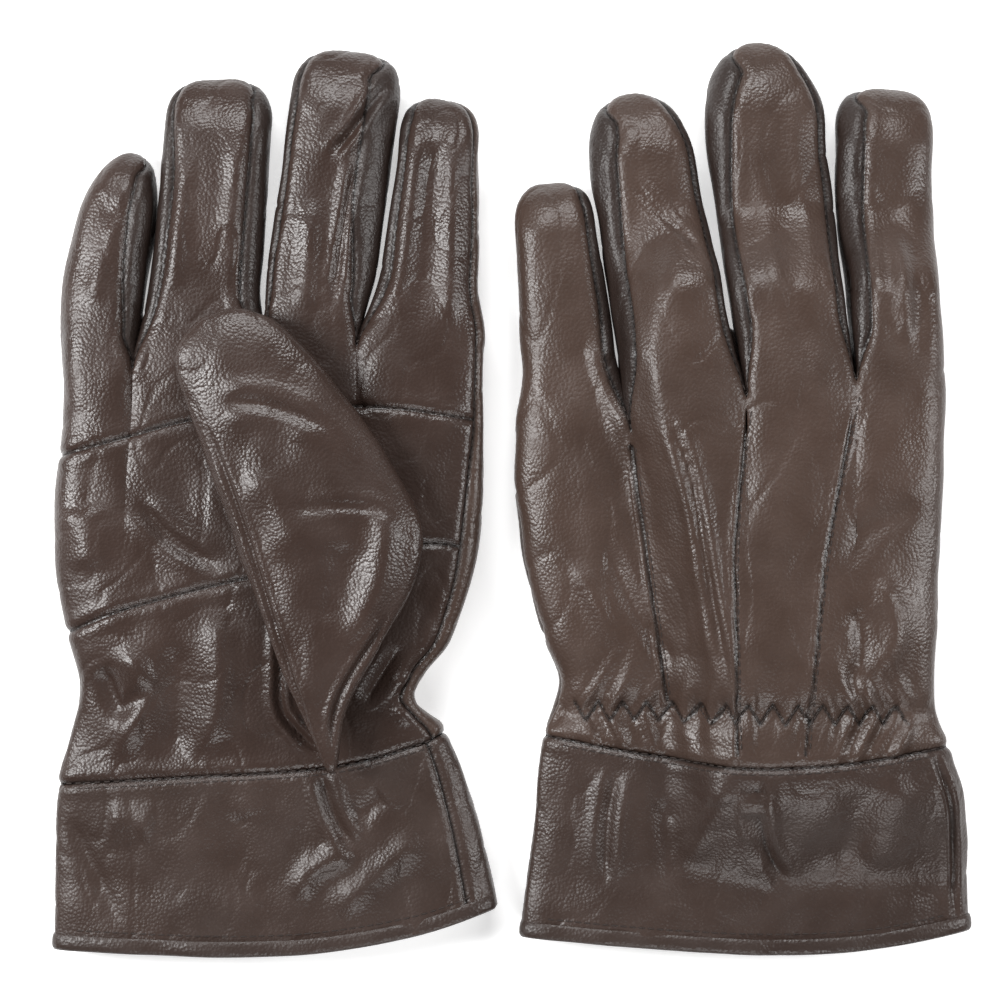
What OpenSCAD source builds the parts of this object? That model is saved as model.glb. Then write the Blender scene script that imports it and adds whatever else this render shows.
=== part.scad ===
// Pair of gentlemen's leather gloves, lying flat side by side.
// Right glove palm up with its thumb folded over the palm, left glove back up
// with its thumb folded underneath. Millimetres, +Z up, fingertips towards +Y,
// z = 0 is the table top.

/* [Leather and lining] */
// thickness of the outer leather
leather_t = 1.2; // [0.8:0.1:1.6]
// thickness of the knitted lining
lining_t = 0.9; // [0.6:0.1:1.2]
// clearance between leather and lining
lining_gap = 0.75; // [0.6:0.05:1.0]

/* [Hand] */
// half thickness of the stuffed palm
palm_half = 10; // [8.5:0.5:12]
// half thickness at the gathered wrist
wrist_half = 8.5; // [7.5:0.5:10]
// half thickness at the cuff hem
hem_half = 7.5; // [6.5:0.5:9]
// width of the index-side leather that folds over onto the palm
side_fold = 4.5; // [3:0.5:7]

/* [Fingers] */
// half thickness of a finger
finger_half = 9; // [8:0.5:10]
// share of the half width taken by the side strip of a finger
strip_share = 0.2; // [0.15:0.01:0.25]
// free space at each finger bend, on each side of the hinge line
bend_gap = 0.5; // [0.4:0.1:1.0]

/* [Thumb] */
// half thickness of the thumb
thumb_half = 6.6; // [6:0.2:8]
// free height between the thumb and the leather it lies on
thumb_gap = 0.6; // [0.5:0.1:1.5]

/* [Cuff] */
// width of the hem binding on the outside
binding_w = 4; // [3:0.5:7]
// width of the sewn-in wrist elastic
elastic_w = 7; // [5:0.5:10]

/* [Hidden] */
RIGHT = 0;
LEFT = 1;
PALM = 1;
BACK = -1;
seam_gap = 0.15;
edge_gap = 0.12;
binding_t = 0.5;
stitch_w = 0.8;
stitch_t = 0.4;
thread_clear = 0.45;
elastic_clear = 0.28;
fork_drop = 2.5;
lining_out = leather_t + lining_gap;
lining_in = lining_out + lining_t;

// outlines of the hand and cuff, [y, x] pairs, right glove then left glove
little_edge = [
    [[-130, -130.5], [-84, -130], [-68, -126.5], [-54, -124], [-40, -126.5], [-20, -129],
     [8, -129], [30, -127.3]],
    [[-129, 2.5], [-100, 5.5], [-70, 8.5], [-60, 12], [-52, 13.5], [-42, 10], [-20, 5],
     [0, 2], [18, 1]]];
index_edge = [
    [[-118, -5], [-92, -10.3], [-75, -15.4], [-66, -20], [-58, -28], [-51, -25],
     [-41, -17.4], [-20, -11], [5, -8.5], [42, -8]],
    [[-125, 130.5], [-100, 129.5], [-84, 127], [-68, 121.5], [-58, 118.5], [-30, 119.5],
     [0, 121], [30, 121.5]]];

// finger forks from the little-finger edge to the index edge, [x, y]
forks = [
    [[-127.3, 30], [-107.5, 36.5], [-71, 43], [-44, 43], [-8, 42]],
    [[1, 18], [33.5, 18.5], [65.2, 28.3], [95.8, 33], [121.5, 30]]];

// fingers little to index: tip x, tip y, side bow, half width at the middle,
// half width near the tip, start of the tip rounding, roundness of the tip
fingers = [
    [[-107, 98, -3.2, 11.2, 10.6, 0.62, 2.1], [-83, 120, 0, 15.4, 15.2, 0.82, 2.6],
     [-45.5, 127, 0.5, 15.2, 15, 0.84, 2.6], [-20.5, 114, 1, 13.4, 11.6, 0.8, 2.5]],
    [[11, 90, 0, 12.4, 11.4, 0.8, 2.5], [32.5, 115.5, 0.8, 14.8, 14.8, 0.76, 2.2],
     [69.5, 130, -0.5, 16.2, 17, 0.72, 2.1], [106.5, 117, -0.6, 13.2, 13.8, 0.84, 2.6]]];

// cross seams over the hand, [share of the half width, y]
cuff_seam = [[[-1, -81.8], [-0.3, -79.5], [0.38, -76.7], [0.87, -70], [1, -67]],
             [[-1, -68], [-0.5, -73], [0, -76], [0.5, -74.5], [1, -70]]];
hem_line = [[[-1, -128.5], [0, -130], [0.6, -125], [1, -117]],
            [[-1, -125], [0, -129.4], [0.5, -128.5], [1, -123]]];
lower_seam = [[[-1, -38.8], [-0.68, -32], [-0.07, -23], [0.74, -13.5], [1, -15]],
              [[-1, -40], [-0.6, -34], [0, -28], [0.6, -24], [1, -24]]];
upper_seam = [[[-1, 11.5], [-0.68, 16.8], [-0.37, 21.7], [0.4, 25.4], [1, 21]],
              [[-1, 2], [-0.6, 5], [0, 9], [0.5, 12], [1, 9]]];

// finger bends as a share of the finger length, little to index
bends = [[0.55, 0.49, 0.5, 0.46], [0.52, 0.56, 0.54, 0.52]];

// thumb outline rows from root to tip: left edge x, y, right edge x, y, share of thickness
thumb_rows = [
    [-53, -74, -48.5, -75, 0.35], [-59, -60, -46, -60, 0.7], [-67, -41, -36, -41, 0.95],
    [-74.5, -22, -27, -22, 1], [-81, -2, -26, -6, 1], [-87.5, 16, -37, 14.5, 1],
    [-93, 32, -49, 30, 0.97], [-93.5, 41, -58, 41, 0.88], [-88, 48.5, -66, 48.5, 0.65],
    [-82, 52, -73, 52, 0.3]];
thumb_shift = [[0, 0], [131, -2]];

function smooth(t) = let (c = min(1, max(0, t))) c * c * (3 - 2 * c);
function mix(a, b, t) = a * (1 - t) + b * t;
function unit(v) = v / norm(v);
function superz(u, n) = pow(max(0, 1 - pow(min(1, abs(u)), n)), 1 / n);

// smooth curve through [position, value] pairs
function slope(p, i) = let (a = max(0, i - 1), b = min(len(p) - 1, i + 1))
    (p[b][1] - p[a][1]) / (p[b][0] - p[a][0]);
function curve(p, t) = let (
        i = len([for (k = [1:len(p) - 2]) if (p[k][0] <= t) 1]),
        h = p[i + 1][0] - p[i][0],
        q = min(1, max(0, (t - p[i][0]) / h)),
        a = q * q * (3 - 2 * q))
    mix(p[i][1], p[i + 1][1], a) + h * (q * (1 - q) * (1 - q) * slope(p, i)
        - q * q * (1 - q) * slope(p, i + 1));

function mid_x(g, y) = (curve(little_edge[g], y) + curve(index_edge[g], y)) / 2;
function half_x(g, y) = (curve(index_edge[g], y) - curve(little_edge[g], y)) / 2;
function face_sign(g, face) = g == RIGHT ? face : -face;

// height of the left glove where it drapes over its folded thumb
drape_rise = 2 * thumb_half + thumb_gap;
function drape(g, x, y) = g == RIGHT ? 0 : drape_rise
    * smooth((x - 18 + 0.27 * (max(y, -45) - 45) - 0.6 * max(0, y - 40)) / 20)
    * smooth((y + 108) / 30) * smooth((78 - y) / 22);

// finger axis, side direction with length, and thickness at share s of the length
function finger_root(g, i) = (forks[g][i] + forks[g][i + 1]) / 2;
function finger_span(g, i) = [fingers[g][i][0], fingers[g][i][1]] - finger_root(g, i);
function finger_side(g, i) = let (d = unit(finger_span(g, i))) [d[1], -d[0]];
function finger_axis(g, i, s) = finger_root(g, i) + finger_span(g, i) * s
    + finger_side(g, i) * fingers[g][i][2] * 4 * s * (1 - s);
function finger_dir(g, i, s) =
    unit(finger_span(g, i) + finger_side(g, i) * fingers[g][i][2] * 4 * (1 - 2 * s));
function finger_width(g, i, s) = let (f = fingers[g][i], q = min(1, max(0, (s - f[5]) / (1 - f[5]))))
    mix(f[3], f[4], smooth((s - 0.35) / 0.5)) * pow(1 - pow(q, f[6]), 1 / f[6]);
function finger_reach(g, i, s) = let (d = finger_dir(g, i, s), b = smooth(s / 0.3))
    (forks[g][i + 1] - forks[g][i]) / 2 * (1 - b) + [d[1], -d[0]] * finger_width(g, i, s) * b;
function finger_thick(s) = mix(palm_half - 0.5, finger_half, smooth(s / 0.3))
    * (1 - 0.42 * smooth((s - 0.78) / 0.22));
function finger_mid(s) = mix(finger_thick(s), max(finger_thick(min(s, 0.7)), finger_thick(s)), 0.5);
function strip_inset(g, i, s) = strip_share * fingers[g][i][3] * smooth(s / 0.2);
seam_u = 1 - strip_share;

// point on a finger skin: u across (-1 to 1), fold 1 or -1 for the folded-over side, d deep
function finger_point(g, i, s, u, fold, face, d, outer) = let (
        r = finger_reach(g, i, s), w = norm(r),
        inset = outer ? 0 : strip_inset(g, i, s),
        lat = (outer ? abs(u) : abs(u) / seam_u) * (w - inset)
            * (w - d * (outer ? 1 : smooth(s / 0.15))) / w,
        p = finger_axis(g, i, s) + r / w * sign(u) * lat,
        z = max(edge_gap, (finger_thick(s) - d) * superz(u, 3)))
    [p[0], p[1], finger_mid(s) + drape(g, p[0], p[1]) + face_sign(g, face) * fold * z];

// columns of the skin as [finger, u, fold]; neighbours share the fork column
inner_cols = [-seam_u, -seam_u / 2, 0, seam_u / 2, seam_u];
little_cols = [-1, -0.93, -0.72, -0.38, 0, seam_u / 2, seam_u];
palm_cols = [-seam_u, -0.4, 0, 0.4, 0.7, 0.88];
back_cols = [-seam_u, -0.4, 0, 0.4, 0.72, 0.93, 1];
fold_cols = [0.97, 0.93, 0.9];
function bands(face) = [
    [for (u = little_cols) [0, u, 1]],
    [for (u = inner_cols) [1, u, 1]],
    [for (u = inner_cols) [2, u, 1]],
    face == PALM ? [for (u = palm_cols) [3, u, 1]]
        : concat([for (u = back_cols) [3, u, 1]], [for (u = fold_cols) [3, u, -1]])];
function is_outer(c) = (c[0] == 0 && c[1] < 0) || (c[0] == 3 && c[1] > 0);

// share of the half width at which a column runs through hand and cuff
function fork_xy(g, c) = let (p = finger_point(g, c[0], 0, c[1], 1, PALM, 0, is_outer(c))) [p[0], p[1]];
function fork_share(g, x) = let (a = forks[g][0][0], b = forks[g][4][0]) (2 * x - a - b) / (b - a);
fold_share = 1 - side_fold / 60;
function hand_share(g, c, face) =
    c[0] == 3 && face == PALM ? mix(fork_share(g, forks[g][3][0]), fold_share - 0.012,
        (c[1] + seam_u) / (0.88 + seam_u))
    : c[2] < 0 ? 1 - (1 - c[1]) / 0.1 * side_fold / 60
    : fork_share(g, fork_xy(g, c)[0]);

// point on the hand or cuff skin
function hand_thick(g, y) = y < -75 ? mix(hem_half, wrist_half, smooth((y + 125) / 50))
    : mix(wrist_half, palm_half, smooth((y + 75) / 35));
function hem_lift(y) = 0.7 * smooth((-108 - y) / 10);
function hand_point(g, c, y, face, d) = let (
        f = fork_xy(g, c), y0 = curve(cuff_seam[g], 0),
        r = (y - y0) / (f[1] - y0), k = smooth((r - 0.5) / 0.5),
        u = mix(hand_share(g, c, face), fork_share(g, f[0]), k),
        x = mix(mid_x(g, y) + (half_x(g, y) - d) * u, f[0] - d * u, smooth((r - 0.7) / 0.3)),
        t = mix(hand_thick(g, y), finger_thick(0), k),
        z = max(edge_gap, (t - d) * mix(superz(u, 4), superz(c[1], 3), k)))
    [x, y, t + hem_lift(y) + drape(g, x, y) + face_sign(g, face) * c[2] * z];

// each cell is cut along the same diagonal on both sides of a skin, so that layers stay parallel
function halves(f) = [[f[0], f[1], f[2]], [f[0], f[2], f[3]]];
function turned(f) = [f[0], f[3], f[2], f[1]];

// closed skin between an outer and an inner grid of points
function flipped(f, flip) = flip ? [for (k = [len(f) - 1:-1:0]) f[k]] : f;
function rim(loop, m) = [for (k = [0:len(loop) - 1]) let (a = loop[k], b = loop[(k + 1) % len(loop)])
    [b, a, a + m, b + m]];
module sheet(outer, inner, flip = false) {
    nr = len(outer);
    nc = len(outer[0]);
    m = nr * nc;
    cells = [for (r = [0:nr - 2], c = [0:nc - 2]) r * nc + c];
    loop = concat([for (c = [0:nc - 1]) c], [for (r = [1:nr - 1]) r * nc + nc - 1],
        [for (c = [nc - 2:-1:0]) (nr - 1) * nc + c], [for (r = [nr - 2:-1:1]) r * nc]);
    quads = [for (a = cells) [a, a + 1, a + nc + 1, a + nc]];
    faces = concat([for (f = quads) each halves(f)],
        [for (f = quads) each halves([for (v = turned(f)) v + m])], rim(loop, m));
    polyhedron(concat([for (r = outer) each r], [for (r = inner) each r]),
        [for (f = faces) flipped(f, flip)]);
}

// closed pocket: rings of points from the open end to the closed end
module pocket(outer, inner, flip = false) {
    nr = len(outer);
    nc = len(outer[0]);
    m = nr * nc;
    cells = [for (r = [0:nr - 2], c = [0:nc - 1]) [r * nc + c, r * nc + (c + 1) % nc]];
    quads = [for (a = cells) [a[0], a[1], a[1] + nc, a[0] + nc]];
    faces = concat([for (f = quads) each halves(f)],
        [for (f = quads) each halves([for (v = turned(f)) v + m])],
        [for (c = [0:nc - 1]) [(c + 1) % nc, c, c + m, (c + 1) % nc + m]],
        [[for (c = [0:nc - 1]) (nr - 1) * nc + c]],
        [[for (c = [nc - 1:-1:0]) m + (nr - 1) * nc + c]]);
    polyhedron(concat([for (r = outer) each r], [for (r = inner) each r]),
        [for (f = faces) flipped(f, flip)]);
}

// closed ring swept from sections around a loop
module ring(sections, flip = false) {
    n = len(sections);
    m = len(sections[0]);
    quads = [for (k = [0:n - 1], j = [0:m - 1]) [k * m + j, k * m + (j + 1) % m,
        ((k + 1) % n) * m + (j + 1) % m, ((k + 1) % n) * m + j]];
    polyhedron([for (s = sections) each s],
        [for (f = quads) for (h = halves(f)) flipped(h, flip)]);
}

// columns of a skin from the little-finger side to the index side
function starts_of(b) = [0, len(b[0]) - 1, len(b[0]) + len(b[1]) - 2,
    len(b[0]) + len(b[1]) + len(b[2]) - 3];
function columns_of(b) = concat(b[0], [for (k = [1:3]) each [for (c = [1:len(b[k]) - 1]) b[k][c]]]);

// a column's heights between cross seams; the line FORK stands for the finger forks
FORK = -1;
function row_y(g, face, c, low, high, t) = mix(curve(low, hand_share(g, c, face)) + seam_gap,
    high == FORK ? fork_xy(g, c)[1] : curve(high, hand_share(g, c, face)) - seam_gap, t);
function skin_rows(g, face, c, lines, steps) = concat(
    [for (k = [0:len(steps) - 1], t = [0:steps[k] - 1])
        row_y(g, face, c, lines[k], lines[k + 1], t / steps[k])],
    [row_y(g, face, c, lines[len(steps) - 1], lines[len(steps)], 1)]);

// point at height y on the flat-faced skin: on one column, or at x between columns
function on_column(g, face, c, lines, steps, y, d) = let (
        rows = skin_rows(g, face, c, lines, steps),
        k = max(0, len([for (v = rows) if (v <= y) 1]) - 1), j = min(k, len(rows) - 2),
        q = (y - rows[j]) / (rows[j + 1] - rows[j]))
    mix(hand_point(g, c, rows[j], face, d), hand_point(g, c, rows[j + 1], face, d), q);
function on_skin(g, face, lines, steps, x, y, d) = let (
        p = [for (c = columns_of(bands(face))) if (c[2] > 0) on_column(g, face, c, lines, steps, y, d)],
        j = min(len(p) - 2, len([for (v = p) if (v[0] <= x) 1]) - 1))
    mix(p[j], p[j + 1], (x - p[j][0]) / (p[j + 1][0] - p[j][0]));

// hand skin between cross seams; with finger rows it grows on into the four fingers
module hand_skin(g, face, lines, steps, grow, d0, d1, b, drop = 0) {
    starts = starts_of(b);
    cols = columns_of(b);
    nc = len(cols);
    last = len([for (n = steps, t = [1:n]) t]);
    top = last * nc;
    before = [0, len(b[0]), len(b[0]) + len(b[1]), len(b[0]) + len(b[1]) + len(b[2])];
    more = before[3] + len(b[3]);
    m = (last + 1) * nc + grow * more;
    rows = [for (c = cols) skin_rows(g, face, c, lines, steps)];
    sunk = function (k, r) r == last && abs(cols[k][1]) == seam_u ? drop : 0;
    layer = function (d) concat(
        [for (r = [0:last], k = [0:nc - 1]) hand_point(g, cols[k], rows[k][r] - sunk(k, r), face, d)],
        grow == 0 ? [] : [for (t = [1:grow], k = [0:3], c = b[k]) let (n = finger_length(g, k))
            finger_point(g, k, (bends[g][k] - bend_gap / n) * pow(t / grow, 1.3),
                c[1], c[2], face, d, is_outer(c))]);
    at = function (k, t, c) t == 0 ? top + starts[k] + c
        : (last + 1) * nc + (t - 1) * more + before[k] + c;
    cells = concat([for (r = [0:last - 1], c = [0:nc - 2]) let (a = r * nc + c)
            [a, a + 1, a + nc + 1, a + nc]],
        grow == 0 ? [] : [for (k = [0:3], t = [0:grow - 1], c = [0:len(b[k]) - 2])
            [at(k, t, c), at(k, t, c + 1), at(k, t + 1, c + 1), at(k, t + 1, c)]]);
    crown = grow == 0 ? [for (c = [nc - 2:-1:0]) top + c]
        : [for (k = [3:-1:0]) each concat([for (t = [1:grow - 1]) at(k, t, len(b[k]) - 1)],
            [for (c = [len(b[k]) - 1:-1:0]) at(k, grow, c)],
            [for (t = [grow - 1:-1:0]) at(k, t, 0)])];
    loop = concat([for (c = [0:nc - 1]) c], [for (r = [1:last]) r * nc + nc - 1], crown,
        [for (r = [last - 1:-1:1]) r * nc]);
    faces = concat([for (f = cells) each halves(f)],
        [for (f = cells) each halves([for (v = turned(f)) v + m])], rim(loop, m));
    polyhedron(concat(layer(d0), layer(d1)),
        [for (f = faces) flipped(f, face_sign(g, face) > 0)]);
}

// lining skins stop short of the side seams
function lining_bands(face) = [for (band = bands(face))
    [for (c = band) if (c[2] > 0 && (!is_outer(c) || abs(c[1]) < 0.95)) c]];

// side strip of a finger; side 1 towards the index finger, -1 towards the little finger
strip_cols = [-1, -0.55, 0, 0.55, 1];
strip_height = 0.94;
function strip_point(g, i, side, s, v, d) = let (
        r = finger_reach(g, i, s), w = norm(r), zn = v * superz(seam_u, 3) * strip_height,
        bulge = (superz(zn, 3) - seam_u) / strip_share,
        lat = (w - strip_inset(g, i, s) * (1 - bulge)) * (w - d * smooth(s / 0.15)) / w,
        p = finger_axis(g, i, s) + r / w * side * lat
            - finger_dir(g, i, s) * d * (1 - smooth(s / 0.15)))
    [p[0], p[1], finger_mid(s) + drape(g, p[0], p[1]) + zn * (finger_thick(s) - d)];
function tip_point(g, i, v, d) = let (
        zn = v * superz(seam_u, 3) * strip_height, bulge = (superz(zn, 3) - seam_u) / strip_share,
        inset = strip_inset(g, i, 1) * (1 - bulge),
        p = finger_axis(g, i, 1) - finger_dir(g, i, 1) * (inset + d))
    [p[0], p[1], finger_mid(1) + drape(g, p[0], p[1]) + zn * (finger_thick(1) - d)];
function finger_length(g, i) = norm(finger_span(g, i));

module fork_strips(g) {
    for (i = [0:2]) {
        e0 = bends[g][i] - bend_gap / finger_length(g, i);
        e1 = bends[g][i + 1] - bend_gap / finger_length(g, i + 1);
        steps = [1, 0.66, 0.36, 0.14];
        layer = function (d) concat(
            [for (t = steps) [for (v = strip_cols) strip_point(g, i, 1, e0 * t, v, d)]],
            [[for (v = strip_cols) strip_point(g, i, 1, 0, v, d)]],
            [for (k = [3:-1:0]) [for (v = strip_cols) strip_point(g, i + 1, -1, e1 * steps[k], v, d)]]);
        sheet(layer(0), layer(leather_t), true);
    }
}

// the moving end of a finger
tip_end = function (g, i) mix(fingers[g][i][5], 1, 0.96);
function tip_s(g, i, t) = mix(bends[g][i] + bend_gap / finger_length(g, i), tip_end(g, i), t);
tip_steps = [0, 0.3, 0.56, 0.76, 0.9, 1];
module tip_skin(g, i, face) {
    cols = [for (u = [-1, -0.66, -0.33, 0, 0.33, 0.66, 1]) u * seam_u];
    layer = function (d) [for (t = tip_steps) [for (u = cols)
        finger_point(g, i, tip_s(g, i, t), u, 1, face, d, false)]];
    sheet(layer(0), layer(leather_t), face_sign(g, face) > 0);
}
module tip_strip(g, i) {
    n = len(tip_steps);
    layer = function (d) concat(
        [for (t = tip_steps) [for (v = strip_cols) strip_point(g, i, -1, tip_s(g, i, t), v, d)]],
        [[for (v = strip_cols) tip_point(g, i, v, d)]],
        [for (k = [n - 1:-1:0]) [for (v = strip_cols)
            strip_point(g, i, 1, tip_s(g, i, tip_steps[k]), v, d)]]);
    sheet(layer(0), layer(leather_t), true);
}
module tip_pocket(g, i) {
    around = [for (k = [0:9]) let (a = 36 * k) [sign(cos(a)) * pow(abs(cos(a)), 2 / 3),
        sign(sin(a)) * pow(abs(sin(a)), 2 / 3)]];
    layer = function (d) [for (t = [0, 0.4, 0.7, 0.88]) [for (q = around) let (
            s = tip_s(g, i, t), r = finger_reach(g, i, s), w = norm(r),
            p = finger_axis(g, i, s) + r / w * q[0] * (w - d))
        [p[0], p[1], finger_mid(s) + drape(g, p[0], p[1]) + q[1] * (finger_thick(s) - d)]]];
    pocket(layer(lining_out), layer(lining_in));
}

// the thumb lies on the palm of the right glove and under the palm of the left one
function thumb_z(g) = thumb_half + (g == RIGHT ? 2 * palm_half + thumb_gap : 0);
function thumb_point(g, k, u, v, d) = let (
        t = thumb_rows[k], a = [t[0], t[1]] + thumb_shift[g], b = [t[2], t[3]] + thumb_shift[g],
        w = norm(b - a) / 2, p = (a + b) / 2 + (b - a) / 2 * u * (w - min(d, w * 0.7)) / w)
    [p[0], p[1], thumb_z(g) + v * max(edge_gap, (thumb_half * t[4] - d) * superz(u, 2.6))];
module thumb_skin(g, v) {
    cols = [-1, -0.93, -0.7, -0.3, 0.3, 0.7, 0.93, 1];
    layer = function (d) [for (k = [0:len(thumb_rows) - 1]) [for (u = cols)
        thumb_point(g, k, u, v, d)]];
    sheet(layer(0), layer(leather_t), v > 0);
}
module thumb_pocket(g) {
    around = [for (u = [-0.85, -0.4, 0.4, 0.85]) [u, 1], for (u = [0.85, 0.4, -0.4, -0.85]) [u, -1]];
    layer = function (d) [for (k = [1:len(thumb_rows) - 2]) [for (q = around)
        thumb_point(g, k, q[0], q[1], d)]];
    pocket(layer(lining_out), layer(lining_in), true);
}

// folded binding around the hem, on the cuff skins' own columns
back_steps = [8];
cuff_steps = [4];
module binding(g) {
    palm = columns_of(bands(PALM));
    back = columns_of(bands(BACK));
    around = concat([for (c = palm) [c, PALM]], [for (k = [len(back) - 1:-1:0]) [back[k], BACK]]);
    out = -edge_gap - binding_t;
    inside = lining_in + edge_gap;
    low = -binding_t - edge_gap;
    section = [[binding_w, -edge_gap], [binding_w, out], [low, out], [low, inside + binding_t],
        [binding_w, inside + binding_t], [binding_w, inside], [0, inside], [0, -edge_gap]];
    ring([for (q = around) let (y = curve(hem_line[g], hand_share(g, q[0], q[1])))
        [for (v = section) on_column(g, q[1], q[0], [hem_line[g], cuff_seam[g]], cuff_steps,
            y + v[0], v[1])]], g == RIGHT);
}

// flat thread line through [low side, high side] points on a skin
module thread_line(g, face, pairs) {
    layer = function (up) [for (p = pairs) [for (q = p) q + [0, 0, face_sign(g, face) * up]]];
    sheet(layer(thread_clear + stitch_t), layer(thread_clear));
}
module cross_thread(g, face, line, up, lim) {
    lines = [hem_line[g], cuff_seam[g]];
    thread_line(g, face, [for (c = columns_of(bands(face))) let (u = hand_share(g, c, face))
        if (c[2] > 0 && abs(u) < lim) [for (k = [-0.5, 0.5])
            on_column(g, face, c, lines, cuff_steps, curve(line, u) + up + k * stitch_w, 0)]]);
}
points_u = [[-0.458, -0.41], [0.07, -0.03], [0.56, 0.35]];
module threads(g, face) {
    cross_thread(g, face, cuff_seam[g], -3.2, 0.88);
    cross_thread(g, face, hem_line[g], binding_w + 2.5, 0.88);
    if (face == BACK)
        for (u = points_u)
            thread_line(g, face, [for (k = [0:16]) let (y = mix(14, -56, k / 16),
                    x = mid_x(g, y) + half_x(g, y) * mix(u[0], u[1], k / 16))
                [for (e = [-0.5, 0.5]) on_skin(g, face, [cuff_seam[g], FORK], back_steps,
                    x + e * stitch_w, y, 0)]]);
}

module elastic(g) {
    cols = [for (c = columns_of(bands(BACK))) if (c[2] > 0 && abs(hand_share(g, c, BACK)) < 0.9) c];
    layer = function (down) [for (v = [-0.5, 0.5]) [for (c = cols)
        on_column(g, BACK, c, [cuff_seam[g], FORK], back_steps, -60 + v * elastic_w, leather_t)
            - [0, 0, face_sign(g, BACK) * down]]];
    sheet(layer(elastic_clear), layer(lining_gap - elastic_clear), face_sign(g, BACK) > 0);
}

module glove_back(g)
    hand_skin(g, BACK, [cuff_seam[g], FORK], back_steps, 4, 0, leather_t, bands(BACK));
module glove_palm_upper(g)
    hand_skin(g, PALM, [upper_seam[g], FORK], [3], 4, 0, leather_t, bands(PALM));
module glove_palm_middle(g)
    hand_skin(g, PALM, [lower_seam[g], upper_seam[g]], [3], 0, 0, leather_t, bands(PALM));
module glove_palm_heel(g)
    hand_skin(g, PALM, [cuff_seam[g], lower_seam[g]], [3], 0, 0, leather_t, bands(PALM));
module glove_cuff(g, face)
    hand_skin(g, face, [hem_line[g], cuff_seam[g]], cuff_steps, 0, 0, leather_t, bands(face));
module glove_lining(g) {
    hand_skin(g, PALM, [hem_line[g], cuff_seam[g], lower_seam[g], upper_seam[g], FORK],
        concat(cuff_steps, [3, 3, 3]), 4, lining_out, lining_in, lining_bands(PALM), fork_drop);
    hand_skin(g, BACK, [hem_line[g], cuff_seam[g], FORK],
        concat(cuff_steps, back_steps), 4, lining_out, lining_in, lining_bands(BACK), fork_drop);
}

dark = [0.33, 0.28, 0.26];
lighter = [0.39, 0.33, 0.30];
knit = [0.16, 0.13, 0.12];
thread = [0.24, 0.20, 0.18];

module right_back_panel() color(lighter) glove_back(RIGHT);
module right_palm_upper() color(dark) glove_palm_upper(RIGHT);
module right_palm_middle() color(dark) glove_palm_middle(RIGHT);
module right_palm_heel() color(dark) glove_palm_heel(RIGHT);
module right_fourchettes() color(dark) fork_strips(RIGHT);
module right_cuff_palm() color(dark) glove_cuff(RIGHT, PALM);
module right_cuff_back() color(dark) glove_cuff(RIGHT, BACK);
module right_cuff_binding() color(dark) binding(RIGHT);
module right_lining() color(knit) glove_lining(RIGHT);
module right_wrist_elastic() color(knit) elastic(RIGHT);
module right_stitching() color(thread) threads(RIGHT, PALM);
module right_thumb_front() color(dark) thumb_skin(RIGHT, 1);
module right_thumb_back() color(dark) thumb_skin(RIGHT, -1);
module right_thumb_lining() color(knit) thumb_pocket(RIGHT);
module right_little_tip_palm() color(dark) tip_skin(RIGHT, 0, PALM);
module right_little_tip_back() color(lighter) tip_skin(RIGHT, 0, BACK);
module right_little_tip_side() color(dark) tip_strip(RIGHT, 0);
module right_little_tip_lining() color(knit) tip_pocket(RIGHT, 0);
module right_ring_tip_palm() color(dark) tip_skin(RIGHT, 1, PALM);
module right_ring_tip_back() color(lighter) tip_skin(RIGHT, 1, BACK);
module right_ring_tip_side() color(dark) tip_strip(RIGHT, 1);
module right_ring_tip_lining() color(knit) tip_pocket(RIGHT, 1);
module right_middle_tip_palm() color(dark) tip_skin(RIGHT, 2, PALM);
module right_middle_tip_back() color(lighter) tip_skin(RIGHT, 2, BACK);
module right_middle_tip_side() color(dark) tip_strip(RIGHT, 2);
module right_middle_tip_lining() color(knit) tip_pocket(RIGHT, 2);
module right_index_tip_palm() color(dark) tip_skin(RIGHT, 3, PALM);
module right_index_tip_back() color(lighter) tip_skin(RIGHT, 3, BACK);
module right_index_tip_side() color(dark) tip_strip(RIGHT, 3);
module right_index_tip_lining() color(knit) tip_pocket(RIGHT, 3);
module left_back_panel() color(lighter) glove_back(LEFT);
module left_palm_upper() color(dark) glove_palm_upper(LEFT);
module left_palm_middle() color(dark) glove_palm_middle(LEFT);
module left_palm_heel() color(dark) glove_palm_heel(LEFT);
module left_fourchettes() color(dark) fork_strips(LEFT);
module left_cuff_palm() color(dark) glove_cuff(LEFT, PALM);
module left_cuff_back() color(dark) glove_cuff(LEFT, BACK);
module left_cuff_binding() color(dark) binding(LEFT);
module left_lining() color(knit) glove_lining(LEFT);
module left_wrist_elastic() color(knit) elastic(LEFT);
module left_stitching() color(thread) threads(LEFT, BACK);
module left_thumb_front() color(dark) thumb_skin(LEFT, 1);
module left_thumb_back() color(dark) thumb_skin(LEFT, -1);
module left_thumb_lining() color(knit) thumb_pocket(LEFT);
module left_little_tip_palm() color(dark) tip_skin(LEFT, 0, PALM);
module left_little_tip_back() color(lighter) tip_skin(LEFT, 0, BACK);
module left_little_tip_side() color(dark) tip_strip(LEFT, 0);
module left_little_tip_lining() color(knit) tip_pocket(LEFT, 0);
module left_ring_tip_palm() color(dark) tip_skin(LEFT, 1, PALM);
module left_ring_tip_back() color(lighter) tip_skin(LEFT, 1, BACK);
module left_ring_tip_side() color(dark) tip_strip(LEFT, 1);
module left_ring_tip_lining() color(knit) tip_pocket(LEFT, 1);
module left_middle_tip_palm() color(dark) tip_skin(LEFT, 2, PALM);
module left_middle_tip_back() color(lighter) tip_skin(LEFT, 2, BACK);
module left_middle_tip_side() color(dark) tip_strip(LEFT, 2);
module left_middle_tip_lining() color(knit) tip_pocket(LEFT, 2);
module left_index_tip_palm() color(dark) tip_skin(LEFT, 3, PALM);
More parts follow.
